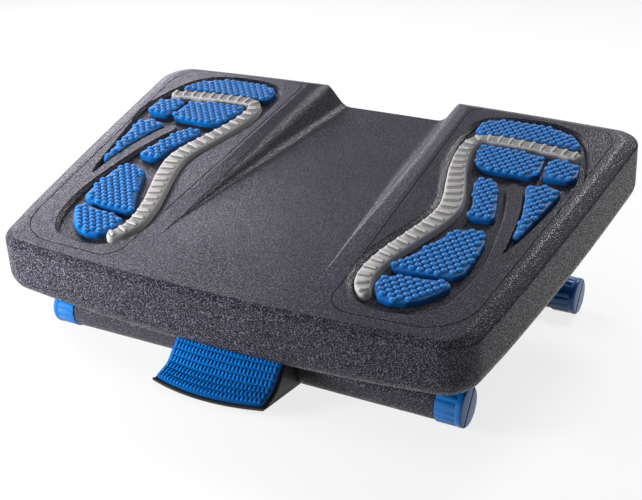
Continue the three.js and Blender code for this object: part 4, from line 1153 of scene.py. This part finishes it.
def deck_hollow(deck, valley, feet):
    """The open hollow under the deck, less the skin, tubs, ribs and bosses."""
    wall = deck.wall
    rings = [
        deck_ring(deck, deck.rim_inset + wall, lambda place: -2 * deck.rim_drop),
        deck_ring(deck, deck.rim_inset + wall, above_rim(deck, 0)),
        deck_ring(deck, deck.draft + wall, above_rim(deck, deck.rim_round)),
        deck_ring(deck, wall + deck.band_rise / 2, under_edge(deck, wall)),
        deck_ring(deck, deck.band_width + wall, under_panel(deck, wall)),
    ]
    solids = [valley_cutter(deck, valley, wall), pocket_tub(deck, feet, -1)]
    solids += [pocket_tub(deck, feet, 1), *rib_meshes(deck), *boss_meshes()]
    return combine(loft("hollow", rings), solids)


class FOOTREST_OT_deck_shell(Operator):
    """Make the deck's textured shell"""

    bl_idname = "footrest.deck_shell"
    bl_label = "Deck shell"

    def execute(self, context):
        deck, valley = context.scene.footrest_deck, context.scene.footrest_valley
        feet = context.scene.footrest_feet
        cutters = [valley_cutter(deck, valley)]
        for side in SIDES.values():
            cutters += [pocket_cutter(deck, feet, side), groove_cutter(deck, feet, side)]
        cutters.append(deck_hollow(deck, valley, feet))
        shell = weighted(combine(deck_outer(deck), cutters), 22.0)
        placed(shell, deck_matrix(deck))
        piece("textured_deck", shell, "deck", "textured_black",
              LOOKS["textured_black"], "deck_shell")
        return {"FINISHED"}


# Pads and strips


# A pad or strip stands this far above the floor of its recess, in metres.
SEAT_GAP = 0.0003

# Share of a pip's radius that stays inside its pad's outline.
PIP_MARGIN = 0.55


def soft_mesh(feet, name, outline, top, lean, across, down):
    """A pad or strip with leaning walls, and a top edge rounded this far across and down."""
    levels = [(0.0, SEAT_GAP - feet.pocket_depth), (lean, top - down)]
    levels += [(lean + across * a, top - down * b) for a, b in reversed(ROUND_EDGE)][1:]
    rings = [level(inset(outline, distance), z) for distance, z in levels]
    return loft(name, rings, sharp=50.0)


def pad_outline(feet, name, side):
    points = [(foot_place(feet, share, side), feet.pad_corner) for share in PAD_SHARES[name]]
    return inset(rounded(points, steps=6), -feet.pad_grow)


def pip_points(feet, outline, top):
    """Places of the staggered pips on one pad."""
    room = inset(outline, feet.pip_radius * PIP_MARGIN)
    xs, ys = [p.x for p in room], [p.y for p in room]
    points = []
    for row in range(math.floor(min(ys) / feet.pip_row), math.ceil(max(ys) / feet.pip_row) + 1):
        y = row * feet.pip_row
        offset = feet.pip_pitch / 2 * (row % 2)
        first = math.floor((min(xs) - offset) / feet.pip_pitch)
        last = math.ceil((max(xs) - offset) / feet.pip_pitch)
        for column in range(first, last + 1):
            point = Vector((column * feet.pip_pitch + offset, y))
            if inside(point, room):
                points.append(Vector((point.x, point.y, top)))
    return points


class FOOTREST_OT_pads(Operator):
    """Make the blue pads and their pips"""

    bl_idname = "footrest.pads"
    bl_label = "Foot pads"

    def execute(self, context):
        deck, feet = context.scene.footrest_deck, context.scene.footrest_feet
        look = LOOKS["pad_blue"]
        top, edge, sunk = feet.pad_rise, 0.0014, 0.0002
        sizes = {
            "Length": feet.pip_radius, "Width": feet.pip_radius, "Height": feet.pip_height,
        }
        for word, side in SIDES.items():
            points = []
            for name in PAD_SHARES:
                outline = pad_outline(feet, name, side)
                mesh = soft_mesh(feet, name, outline, top, lean=0.0, across=edge, down=edge)
                placed(mesh, panel_matrix(deck))
                node = f"{name}_pad_{word}"
                # The pad's body takes the darker blue: painted shade between the pips.
                piece(f"soft_{node}", mesh, "deck", "pad_blue", LOOKS["pad_foot"], node)
                points += pip_points(feet, outline, top - sunk)
            title = f"pad_pips_{word}"
            shape = dome("pip", sides=10, rows=4)
            pips = copies(title, point_mesh(title, points), shape, look, sizes)
            piece(title, placed(pips, panel_matrix(deck)), "deck", "pad_blue", look)
        return {"FINISHED"}


def strip_path(feet, side):
    """A strip's middle line; z holds half its width."""
    points = []
    for share in STRIP_SHARES:
        place = foot_place(feet, share, side)
        points.append(Vector((place.x, place.y, share[2] * feet.strip_width / 2)))
    return smooth_curve(points, 5, False)


# Steps round a strip's end.
STRIP_END_STEPS = 8


def strip_outline(path):
    left, right = [], []
    for i, p in enumerate(path):
        ahead, behind = path[min(i + 1, len(path) - 1)], path[max(i - 1, 0)]
        along = (ahead - behind).to_2d().normalized()
        across = Vector((-along.y, along.x)) * p.z
        left.append(p.to_2d() + across)
        right.append(p.to_2d() - across)

    def cap(start, end):
        middle, reach = (start + end) / 2, (start - end) / 2
        out = Vector((-reach.y, reach.x))
        turns = [a * math.pi / STRIP_END_STEPS for a in range(1, STRIP_END_STEPS)]
        return [middle + reach * math.cos(turn) - out * math.sin(turn) for turn in turns]

    right.reverse()
    return left + cap(left[-1], right[0]) + right + cap(right[-1], left[0])


def path_from(path, distance):
    """A path without its first stretch."""
    points = list(path)
    while len(points) > 2:
        stretch = (points[1] - points[0]).to_2d().length
        if stretch > distance:
            points[0] = points[0].lerp(points[1], distance / stretch)
            break
        distance -= stretch
        points.pop(0)
    return points


# How far ribs and the cells of painted shade between them are sunk into their strip, in metres.
RIB_SUNK = 0.0004


class FOOTREST_OT_strips(Operator):
    """Make the grey massage strips, their ribs and the painted shade between the ribs"""

    bl_idname = "footrest.strips"
    bl_label = "Massage strips"

    def execute(self, context):
        deck, feet = context.scene.footrest_deck, context.scene.footrest_feet
        top, rubber = feet.strip_rise, LOOKS["strip_grey"]
        # Start and length as shares of the pitch, width as a share of the strip's, and height.
        kinds = [
            ("ribs", 0.0, 0.16, 0.80, feet.rib_height, rubber),
            # The cells are darker sheets laid between the ribs: painted shade.
            ("cells", 0.5, 0.34, 0.76, feet.shade_cell_height, LOOKS["strip_dark"]),
        ]
        for word, side in SIDES.items():
            path = strip_path(feet, side)
            outline = strip_outline(path)
            bar = soft_mesh(feet, "strip", outline, top, lean=0.0006, across=0.0016, down=0.0022)
            placed(bar, panel_matrix(deck))
            piece(f"soft_strip_{word}", bar, "deck", "strip_grey", rubber, f"ribbed_strip_{word}")
            for kind, start, long, wide, height, look in kinds:
                title = f"strip_{kind}_{word}"
                chain = path_from(path, start * feet.rib_pitch)
                places = [Vector((p.x, p.y, top - RIB_SUNK)) for p in chain]
                points = point_mesh(title, places, [p.z for p in chain], chained=True)
                sizes = {
                    "Length": feet.rib_pitch * long, "Width": wide,
                    "Height": height + RIB_SUNK, "Pitch": feet.rib_pitch,
                }
                made = copies(title, points, pillow(kind), look, sizes, along_path=True)
                piece(title, placed(made, panel_matrix(deck)), "deck", "strip_grey", look)
        return {"FINISHED"}


# The base


# End caps in metres: the height cut off below for the flat sole, and the plug inside the bar.
CAP_SOLE = 0.0003
PLUG_RADIUS = 0.0117
PLUG_LENGTH = 0.012


def bar_axis(base):
    """Height of the bars' axes above the floor."""
    return base.cap_radius - CAP_SOLE


def cap_mesh(base, low, high, side):
    """A fluted end cap with a plain ring, a coin slot and a flat sole."""
    radius, rim, long = base.cap_radius, base.cap_ring, base.cap_length
    outer_x = high.x if side > 0 else low.x
    middle = Vector((0, ((low + high) / 2).y, bar_axis(base)))
    sides = base.cap_flutes * 8

    def ring(back, grow, fluted):
        points = []
        for i in range(sides):
            angle = 2 * math.pi * i / sides
            dip = fluted * base.cap_flute * (0.5 - 0.5 * math.cos(base.cap_flutes * angle)) ** 2
            reach = radius + grow - dip
            points.append(Vector((
                outer_x - side * back,
                middle.y + reach * math.cos(angle), middle.z + reach * math.sin(angle),
            )))
        return points

    # Rings from the outer end: distance from it, growth past the radius, and depth of the flutes.
    plug = PLUG_RADIUS - radius
    profile = [
        (0.0, -0.0016, 0), (0.0002, -0.0009, 0), (0.0009, -0.0002, 0), (0.0016, 0.0, 0),
        (rim - 0.0006, 0.0, 0), (rim, -0.0004, 0), (rim + 0.0004, -0.0005, 0),
        (rim + 0.0012, -0.0001, 1), (long - 0.001, 0.0, 1), (long - 0.0003, -0.0003, 1),
        (long, -0.001, 0.6), (long, plug, 0), (long + PLUG_LENGTH, plug, 0),
    ]
    body = loft("cap", [ring(*row) for row in profile], sharp=40.0)
    half, deep, far = base.cap_slot_width / 2, base.cap_slot_depth, 0.05
    slot = box_mesh("slot", (-deep, -half, -far), (deep, half, far))
    turn = Matrix.Rotation(base.cap_slot_lean, 4, "X")
    placed(slot, Matrix.Translation((outer_x, middle.y, middle.z)) @ turn)
    reach = 2 * radius
    floor = box_mesh("floor", (outer_x - far, middle.y - reach, -reach),
                     (outer_x + far, middle.y + reach, 0))
    return combine(body, [slot, floor], sharp=40.0)


class FOOTREST_OT_end_caps(Operator):
    """Make the fluted end caps"""

    bl_idname = "footrest.end_caps"
    bl_label = "End caps"

    def execute(self, context):
        base = context.scene.footrest_base
        for word, side in SIDES.items():
            for end in ("front", "rear"):
                node = f"end_cap_{end}_{word}"
                low, high = (Vector(corner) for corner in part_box(node))
                mesh = cap_mesh(base, low, high, side)
                piece(f"fluted_cap_{end}_{word}", mesh, "base", "cap_blue",
                      LOOKS["cap_blue"], node)
        return {"FINISHED"}


def on_base(mesh):
    """Moves a mesh from the axle's own place along Y into the frame."""
    return placed(mesh, Matrix.Translation((0, HINGE.y, 0)))


# How far an added shape reaches into its neighbour, in metres.
BITE = 0.0015


def tower_mesh(base):
    """A tower that carries the axle, with a round top."""
    top = base.floor_gap + base.housing_height
    half, foot, step = base.tower_half, top - BITE, top + 0.001
    outline = [Vector((-half, foot)), Vector((-half, step))]
    outline += arc(0, HINGE.z, base.tower_radius, range(190, -15, -10))
    outline += [Vector((half, step)), Vector((half, foot))]
    ends = (base.tower_inset, base.tower_inset + base.tower_width)
    return placed(slab("tower", outline, *ends, edge=0.0008), ALONG_X)


# Where a rear arm leaves the housing, as distances behind the axle in metres.
ARM_ROOT = (0.026, 0.062)


def arm_outline(base, wall):
    """A rear arm from above, drawn in by a wall's thickness for its hollow."""
    start = base.rear_end - base.hub_length
    near, far = base.rear_offset - base.bar_radius, base.rear_offset + base.bar_radius
    root = base.housing_width / 2 - BITE + 2 * wall
    return outline_of([
        (root, ARM_ROOT[0] + 2 * wall, 0), (start + 0.003 - wall, near + wall, 0.010),
        (start + 0.006 - wall, near + wall, 0.0), (start + 0.006 - wall, far - wall, 0.002),
        (start - 0.003, far - wall, 0.012), (root, ARM_ROOT[1] - wall, 0),
    ])


# Radii of the base frame's holes in metres: for the pins, the axle's bushes and the screws.
PIN_HOLE = 0.0033
BUSH_HOLE = 0.0073
PILOT_HOLE = 0.0023

# Height of the pedal cheeks above the bar's axis, and the brake arm's pin and its right lug, with
# Y measured from the axle, in metres.
CHEEK_RISE = 0.0075
BRAKE_PIN = (-0.030, 0.022)
BRAKE_LUG = ((0.009, -0.0365, 0.0155), (0.013, -0.0235, 0.0345))

# The cover's screw bosses in metres: inset from the housing's sides, radius, foot, and hole's ends.
SCREW_INSET = 0.010
SCREW_BOSS = 0.0045
SCREW_FOOT = 0.0073
SCREW_HOLE = (0.0063, 0.0158)

# Openings of the housing in metres: half across and along the slot for the brake sector, and half
# the width and the top of the opening for the pedal's tail.
SECTOR_SLOT = (0.009, 0.018)
TAIL_SLOT = (0.009, 0.026)


class FOOTREST_OT_base_frame(Operator):
    """Make the base frame with its bars, arms and towers"""

    bl_idname = "footrest.base_frame"
    bl_label = "Base frame"

    def execute(self, context):
        base, pedal = context.scene.footrest_base, context.scene.footrest_pedal
        half_x, half_y = base.housing_width / 2, base.housing_length / 2
        low, top, wall = base.floor_gap, base.floor_gap + base.housing_height, base.wall
        axis, radius = bar_axis(base), base.bar_radius
        front, rear, start = -base.front_offset, base.rear_offset, base.rear_end - base.hub_length

        shell = slab("base_frame", rectangle(half_x, half_y, radius=0.006), low, top, edge=0.0012)
        inner = rectangle(half_x - wall, half_y - wall, radius=0.003)
        shell = combine(shell, [slab("inner", inner, low - PAST, top - wall)])
        back, cheek_top = wall / 2 - half_y, axis + CHEEK_RISE
        cheek_outline = outline_of([
            (front, low, 0.003), (back, low, 0), (back, cheek_top, 0), (front, cheek_top, 0.005),
        ])
        arm_top = low + base.arm_height

        def arm():
            body = slab("arm", arm_outline(base, 0), low, arm_top, edge=0.0015)
            hub = bar_x("hub", start, base.rear_end, rear, axis, radius, edge=0.0006)
            hollow = slab("hollow", arm_outline(base, wall), low - PAST, arm_top - wall)
            return combine(combine(body, [hub], "UNION"), [hollow])

        def cheek():
            ends = (base.cheek_inset, half_x + 0.0003)
            return placed(slab("cheek", cheek_outline, *ends, edge=0.0008), ALONG_X)

        def bar():
            ends = (base.cheek_inset, base.front_end)
            return bar_x("bar", *ends, front, axis, radius, edge=0.0006)

        def bore(x0, x1, y):
            return mirrored(lambda: bar_x("bore", x0, x1 + PAST, y, axis, radius - wall))

        def hole(x0, x1, y, z, size):
            return mirrored(lambda: bar_x("hole", x0 - PAST, x1, y, z, size))

        added = [*mirrored(arm), *mirrored(lambda: tower_mesh(base)), *mirrored(cheek)]
        added += [*mirrored(bar), *mirrored(lambda: box_mesh("lug", *BRAKE_LUG, rounding=0.0005))]
        places = [
            (x * (half_x - SCREW_INSET), y * (half_y - SCREW_INSET))
            for x in (-1, 1) for y in (-1, 1)
        ]
        added += [slab("boss", circle(x, y, SCREW_BOSS), SCREW_FOOT, top - BITE) for x, y in places]
        cuts = [slab("pilot", circle(x, y, PILOT_HOLE), *SCREW_HOLE) for x, y in places]
        cuts += bore(half_x, base.front_end, front)
        cuts += bore(start + 2 * wall, base.rear_end, rear)
        wide, long = SECTOR_SLOT
        cuts.append(box_mesh("slot", (-wide, -long, top - wall - PAST), (wide, long, top + PAST)))
        wide, high = TAIL_SLOT
        cuts.append(box_mesh("slot", (-wide, -half_y - PAST, low - PAST),
                             (wide, wall - half_y + PAST, high)))
        cuts += hole(base.cheek_inset, half_x - PAST, -pedal.pin_offset, pedal.pin_height, PIN_HOLE)
        end = BRAKE_LUG[1][0] + PAST
        cuts.append(bar_x("hole", -end, end, *BRAKE_PIN, PIN_HOLE))
        tower_end = base.tower_inset + base.tower_width + PAST
        cuts += hole(base.tower_inset, tower_end, 0, HINGE.z, BUSH_HOLE)
        frame_mesh = combine(combine(shell, added, "UNION"), cuts, sharp=35.0)
        piece("moulded_frame", weighted(on_base(frame_mesh)), "base", "plain_black",
              LOOKS["bar_black"], "base_frame")
        return {"FINISHED"}


# The pedal


def pedal_curve(pedal):
    """The pad's surface; z holds how far the pedal's middle bulges forward there."""
    front_y = pedal.lip - pedal.reach
    front_z = pedal.toe_clearance + pedal.lip_height + pedal.gap + pedal.pad_thickness / 2
    points = [Vector((
        front_y + along * pedal.run, front_z + up * pedal.rise, (1 - along) * pedal.bulge
    )) for along, up in PEDAL_SHARES]
    return smooth_curve(points, 5, False)


def under_curve(points, distance):
    result = []
    for i, p in enumerate(points):
        along = points[min(i + 1, len(points) - 1)] - points[max(i - 1, 0)]
        along = along.to_2d().normalized()
        result.append(Vector((p.x + along.y * distance, p.y - along.x * distance, p.z)))
    return result


BULGE_STEPS = 30


def bulged(name, pedal, half_width, outline, edge):
    """A solid along X whose outline bulges forward in the middle, with rounded ends."""
    steps = range(1, BULGE_STEPS)
    ends = [(edge * along, edge * inward) for inward, along in SMALL_EDGE]
    rows = [(along - half_width, shrink) for along, shrink in ends]
    rows += [(-half_width + 2 * half_width * i / BULGE_STEPS, 0.0) for i in steps]
    rows += [(half_width - along, shrink) for along, shrink in reversed(ends)]
    rings = []
    for x, shrink in rows:
        pull = 1 - (x / pedal.half_width) ** 2
        places = inset(outline, shrink)
        rings.append([
            Vector((x, q.x - pull * p.z, q.y)) for p, q in zip(outline, places)
        ])
    return loft(name, rings, sharp=35.0)


def pedal_pad_mesh(pedal):
    top = pedal_curve(pedal)
    bottom = under_curve(top, pedal.pad_thickness)
    half_width = pedal.half_width - pedal.pad_inset
    return bulged("pedal_pad", pedal, half_width, [*bottom, *reversed(top)], edge=0.0009)


# The pedal's fins: the bare margin beside them in metres, and their length and width as shares of
# the pitch.
FIN_MARGIN = 0.0016
FIN_LENGTH = 0.62
FIN_WIDTH = 0.40


def pedal_fins(pedal, look):
    """Rows of short fins that stand on the pad's surface."""
    curve = pedal_curve(pedal)
    lengths = [0.0]
    for a, b in zip(curve, curve[1:]):
        lengths.append(lengths[-1] + (b - a).to_2d().length)
    room = pedal.half_width - pedal.pad_inset - FIN_MARGIN
    pitch = lengths[-1] / pedal.fin_rows
    points, turns, leans = [], [], []
    for row in range(pedal.fin_rows):
        reach = pitch * (row + 0.5)
        k = next(i for i, value in enumerate(lengths) if value >= reach)
        share = (reach - lengths[k - 1]) / (lengths[k] - lengths[k - 1])
        place = curve[k - 1].lerp(curve[k], share)
        step = curve[k] - curve[k - 1]
        for column in range(pedal.fins):
            x = room * (2 * (column + 0.5) / pedal.fins - 1)
            pull = 1 - (x / pedal.half_width) ** 2
            points.append(Vector((x, place.x - pull * place.z, place.y)))
            turns.append(math.atan(2 * x * place.z / pedal.half_width ** 2))
            leans.append(math.atan2(step.y, step.x - pull * step.z))
    sizes = {
        "Length": room / pedal.fins * FIN_LENGTH, "Width": pitch * FIN_WIDTH,
        "Height": pedal.fin_height,
    }
    cloud = point_mesh("pedal_fins", points, turns=turns, leans=leans)
    return copies("pedal_fins", cloud, pillow("fin"), look, sizes)


def lever_mesh(pedal):
    """The pedal lever: a hollow bulged body, two ears on the pin and a tail."""
    wall, hub = pedal.wall, pedal.hub_radius
    curve = pedal_curve(pedal)
    seat = under_curve(curve, pedal.pad_thickness + pedal.gap)
    lip_top = pedal.toe_clearance + pedal.lip_height
    back_y, back_z = seat[-1].x + 2 * wall, seat[-1].y
    corners = [
        (Vector((-pedal.reach, pedal.toe_clearance, pedal.bulge)), 0.0012),
        (Vector((-pedal.reach, lip_top, pedal.bulge)), 0.001),
        *[(p, 0) for p in seat],
        (Vector((back_y, back_z, 0)), 0.002),
        (Vector((-pedal.heel, pedal.pin_height + hub, 0)), 0.003),
        (Vector((-pedal.heel, pedal.heel_clearance, 0)), 0.001),
    ]
    outline = rounded(corners, steps=4)
    body = bulged("pedal_lever", pedal, pedal.half_width, outline, edge=0.0008)
    # The hollow's roof starts behind the seat's first points, so that the front stays whole.
    roof = under_curve(curve, pedal.pad_thickness + pedal.gap + wall)[5:]
    inner = pedal.half_width - wall
    heel = -pedal.heel - wall
    outline = [Vector((roof[0].x, -PAST)), *[p.to_2d() for p in roof]]
    outline += [Vector((back_y - wall, back_z - wall))]
    outline += [Vector((heel, pedal.pin_height + hub - wall)), Vector((heel, -PAST))]
    hollow = placed(slab("hollow", outline, -inner, inner), ALONG_X)
    body = combine(body, [hollow])
    ear_in, ear_out = pedal.half_width - 2 * wall, pedal.half_width + 0.0017
    pin_y, pin_z = -pedal.pin_offset, pedal.pin_height
    low, high = pin_z - hub, pin_z + hub
    added = [
        *mirrored(lambda: bar_x("ear", ear_in, ear_out, pin_y, pin_z, hub, 0.0005, sides=48)),
        *mirrored(lambda: box_mesh("ear", (ear_in, heel, low), (pedal.half_width, pin_y, high))),
    ]
    root, tip, reach = heel + wall / 2, pedal.nose_height, pedal.nose_radius
    nose = [Vector((root, tip - reach))]
    nose += arc(-pedal.nose_offset, tip, reach, range(-90, 91, 15))
    nose += [Vector((root, tip + reach))]
    half = pedal.tail_half
    added.append(placed(slab("tail", nose, -half, half, edge=0.0005), ALONG_X))
    added.append(bar_x("tail", -half, half, pin_y, pin_z, pedal.pin_radius + wall, 0.0004, sides=48))
    hole = bar_x("hole", -0.06, 0.06, pin_y, pin_z, pedal.pin_radius + 0.0003, sides=32)
    return combine(combine(body, added, "UNION"), [hole], sharp=35.0)


class FOOTREST_OT_pedal(Operator):
    """Make the pedal lever, its pad and the fins"""

    bl_idname = "footrest.pedal"
    bl_label = "Pedal"

    def execute(self, context):
        pedal = context.scene.footrest_pedal
        lever = weighted(on_base(lever_mesh(pedal)))
        piece("moulded_lever", lever, "pedal", "plain_black", LOOKS["plain_black"], "pedal_lever")
        pad = on_base(pedal_pad_mesh(pedal))
        # The pedal pad takes the darker blue: painted shade between the fins.
        piece("soft_pedal_pad", pad, "pedal", "pad_blue", LOOKS["pad_foot"], "pedal_pad")
        fins = on_base(pedal_fins(pedal, LOOKS["pad_blue"]))
        piece("pedal_fins", fins, "pedal", "pad_blue", LOOKS["pad_blue"])
        return {"FINISHED"}


# The coil's rings in a turn, and the corners of its wire.
SPRING_STEPS = 24
SPRING_SIDES = 10


def spring_mesh(pedal, low, high):
    """A coil of round wire that fills a box."""
    wire = pedal.spring_wire / 2
    middle = (low + high) / 2
    radius = (high.x - low.x) / 2 - wire
    climb = high.z - low.z - 2 * wire
    slope = climb / (math.tau * radius * pedal.spring_turns)
    steps = pedal.spring_turns * SPRING_STEPS
    rings = []
    for step in range(steps + 1):
        angle = math.tau * step / SPRING_STEPS
        outward = Vector((math.cos(angle), math.sin(angle), 0))
        along = Vector((-math.sin(angle), math.cos(angle), slope)).normalized()
        across = outward.cross(along)
        height = low.z + wire + climb * step / steps
        centre = Vector((middle.x, middle.y, height)) + outward * radius
        rings.append([
            centre + (outward * math.cos(turn) + across * math.sin(turn)) * wire
            for turn in (math.tau * side / SPRING_SIDES for side in range(SPRING_SIDES))
        ])
    return loft("spring", rings, sharp=60.0)


class FOOTREST_OT_brake_spring(Operator):
    """Make the coil spring under the brake arm, as one fixed coil; the real spring shortens as the arm comes down
    """

    bl_idname = "footrest.brake_spring"
    bl_label = "Brake spring"

    def execute(self, context):
        low, high = (Vector(corner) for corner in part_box("brake_spring"))
        mesh = spring_mesh(context.scene.footrest_pedal, low, high)
        steel = LOOKS["bright_steel"]
        coil = piece("coil_spring", mesh, "base", "bright_steel", steel, "brake_spring")
        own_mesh(coil)
        return {"FINISHED"}


class FOOTREST_OT_hidden_pieces(Operator):
    """Finish the pieces that keep their own solids"""

    bl_idname = "footrest.hidden_pieces"
    bl_label = "Kept pieces"

    def execute(self, context):
        slots = {row["node"]: row["material_slot"] for row in frame["record"]["subparts"]}
        for node, item in frame["nodes"].items():
            look = LOOKS[slots[node]]
            for place in item.material_slots:
                place.material = look
        return {"FINISHED"}


# Stage


CAMERA_TARGET = HINGE + Vector((0.0001, 0.0172, -0.0265))
CAMERA_BEARING = Vector((0.44486, -0.80880, 0.38464))
CAMERA_DISTANCE = 1.06586
CAMERA_FOCAL = 68.74

# Radius and height of the backdrop's sweep, in metres.
COVE_PROFILE = [(3, 0), (3.4, 0.04), (3.7, 0.15), (3.9, 0.35), (4.0, 0.65), (4.05, 1.1), (4.1, 1.9)]
COVE_SIDES = 96

# Where the lamps point.
LAMP_TARGET = Vector((0, 0, 0.08))


def aim(item, target):
    """Points a lamp or camera at a place."""
    way = (target - item.location).to_track_quat("-Z", "Y")
    item.rotation_euler = way.to_euler()


def lamp(name, place, size, power, tint=(1, 1, 1)):
    """A square lamp with its side in metres and its power in watts, which the camera can't see."""
    data = bpy.data.lights.new(name, "AREA")
    data.energy = power
    data.size = size
    data.color = tint
    item = bpy.data.objects.new(name, data)
    item.visible_camera = False
    item.location = place
    bpy.context.scene.collection.objects.link(item)
    aim(item, LAMP_TARGET)
    return item


def white_behind(tree, plain, seen):
    """Mixes a shader that the camera, glass and mirrors see with the one that lights."""
    path = tree.nodes.new("ShaderNodeLightPath")
    most = None
    for ray in ("Is Camera Ray", "Is Glossy Ray", "Is Transmission Ray"):
        if most is None:
            most = (path, ray)
            continue
        larger = tree.nodes.new("ShaderNodeMath")
        larger.operation = "MAXIMUM"
        link(tree, *most, larger, 0)
        link(tree, path, ray, larger, 1)
        most = (larger, "Value")
    mix = tree.nodes.new("ShaderNodeMixShader")
    link(tree, *most, mix, "Fac")
    tree.links.new(plain, mix.inputs[1])
    tree.links.new(seen, mix.inputs[2])
    return mix


def cove_mesh():
    """A round floor whose edge sweeps up into a low backdrop."""
    work = bmesh.new()
    rings = []
    for radius, height in COVE_PROFILE:
        outline = level(circle(0, 0, radius, COVE_SIDES), height)
        rings.append([work.verts.new(p) for p in outline])
    work.faces.new(rings[0])
    skin(work, rings)
    return finish_mesh(work, "floor", sharp=60.0)


class FOOTREST_OT_stage(Operator):
    """Make the floor, the lamps and the camera"""

    bl_idname = "footrest.stage"
    bl_label = "Stage"

    def execute(self, context):
        scene = context.scene
        scene.view_settings.view_transform = "Standard"
        camera = bpy.data.objects.new("camera", bpy.data.cameras.new("camera"))
        scene.collection.objects.link(camera)
        camera.data.lens = CAMERA_FOCAL
        camera.data.sensor_width = 36
        camera.data.clip_end = 50
        camera.location = CAMERA_TARGET + CAMERA_BEARING * CAMERA_DISTANCE
        aim(camera, CAMERA_TARGET)
        scene.camera = camera

        world = bpy.data.worlds.new("studio")
        world.use_nodes = True
        scene.world = world
        tree = world.node_tree
        light = tree.nodes["Background"]
        light.inputs["Color"].default_value = (0.95, 0.97, 1, 1)
        light.inputs["Strength"].default_value = 0.12

        floor = bpy.data.objects.new("floor", cove_mesh())
        scene.collection.objects.link(floor)
        look = bpy.data.materials.new("pale floor")
        look.use_nodes = True
        tree = look.node_tree
        main = tree.nodes["Principled BSDF"]
        main.inputs["Base Color"].default_value = (0.8, 0.8, 0.8, 1)
        main.inputs["Roughness"].default_value = 0.8
        glow = tree.nodes.new("ShaderNodeEmission")
        glow.inputs["Strength"].default_value = 1
        both = tree.nodes.new("ShaderNodeMixShader")
        both.inputs["Fac"].default_value = 0.8
        tree.links.new(main.outputs["BSDF"], both.inputs[1])
        tree.links.new(glow.outputs["Emission"], both.inputs[2])
        mix = white_behind(tree, main.outputs["BSDF"], both.outputs["Shader"])
        link(tree, mix, "Shader", tree.nodes["Material Output"], "Surface")
        floor.data.materials.append(look)

        lamp("window", (-1.08, 0.68, 0.74), size=0.8, power=15, tint=(0.90, 0.87, 1))
        lamp("back window", (0.17, 1.25, 1.38), size=0.4, power=17)
        low = lamp("low window", (-0.52, -0.50, 0.13), size=0.3, power=14)
        low.visible_glossy = False
        lamp("top fill", (0.3, -0.3, 1.7), size=1.2, power=9)
        return {"FINISHED"}


class FOOTREST_PT_panel(Panel):
    """Lists the footrest's pieces"""

    bl_label = "Footrest"
    bl_space_type = "VIEW_3D"
    bl_region_type = "UI"
    bl_category = "Footrest"

    def draw(self, context):
        for kind in STEPS:
            self.layout.operator(kind.bl_idname)


STEPS = [
    FOOTREST_OT_hidden_pieces,
    FOOTREST_OT_deck_shell,
    FOOTREST_OT_pads,
    FOOTREST_OT_strips,
    FOOTREST_OT_end_caps,
    FOOTREST_OT_base_frame,
    FOOTREST_OT_pedal,
    FOOTREST_OT_brake_spring,
    FOOTREST_OT_stage,
]

GROUPS = {
    "footrest_deck": FootrestDeckSizes,
    "footrest_valley": FootrestValleySizes,
    "footrest_feet": FootrestFootSizes,
    "footrest_base": FootrestBaseSizes,
    "footrest_pedal": FootrestPedalSizes,
    "footrest_colours": FootrestColours,
}


def register():
    for kind in [*GROUPS.values(), *STEPS, FOOTREST_PT_panel]:
        bpy.utils.register_class(kind)
    for name, kind in GROUPS.items():
        setattr(bpy.types.Scene, name, PointerProperty(type=kind))


def unregister():
    for name in GROUPS:
        delattr(bpy.types.Scene, name)
    for kind in [FOOTREST_PT_panel, *reversed(STEPS), *GROUPS.values()]:
        bpy.utils.unregister_class(kind)


def main():
    register()
    make_looks(bpy.context.scene.footrest_colours)
    for kind in STEPS:
        group, name = kind.bl_idname.split(".")
        getattr(getattr(bpy.ops, group), name)()
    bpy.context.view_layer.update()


if __name__ == "__main__":
    main()
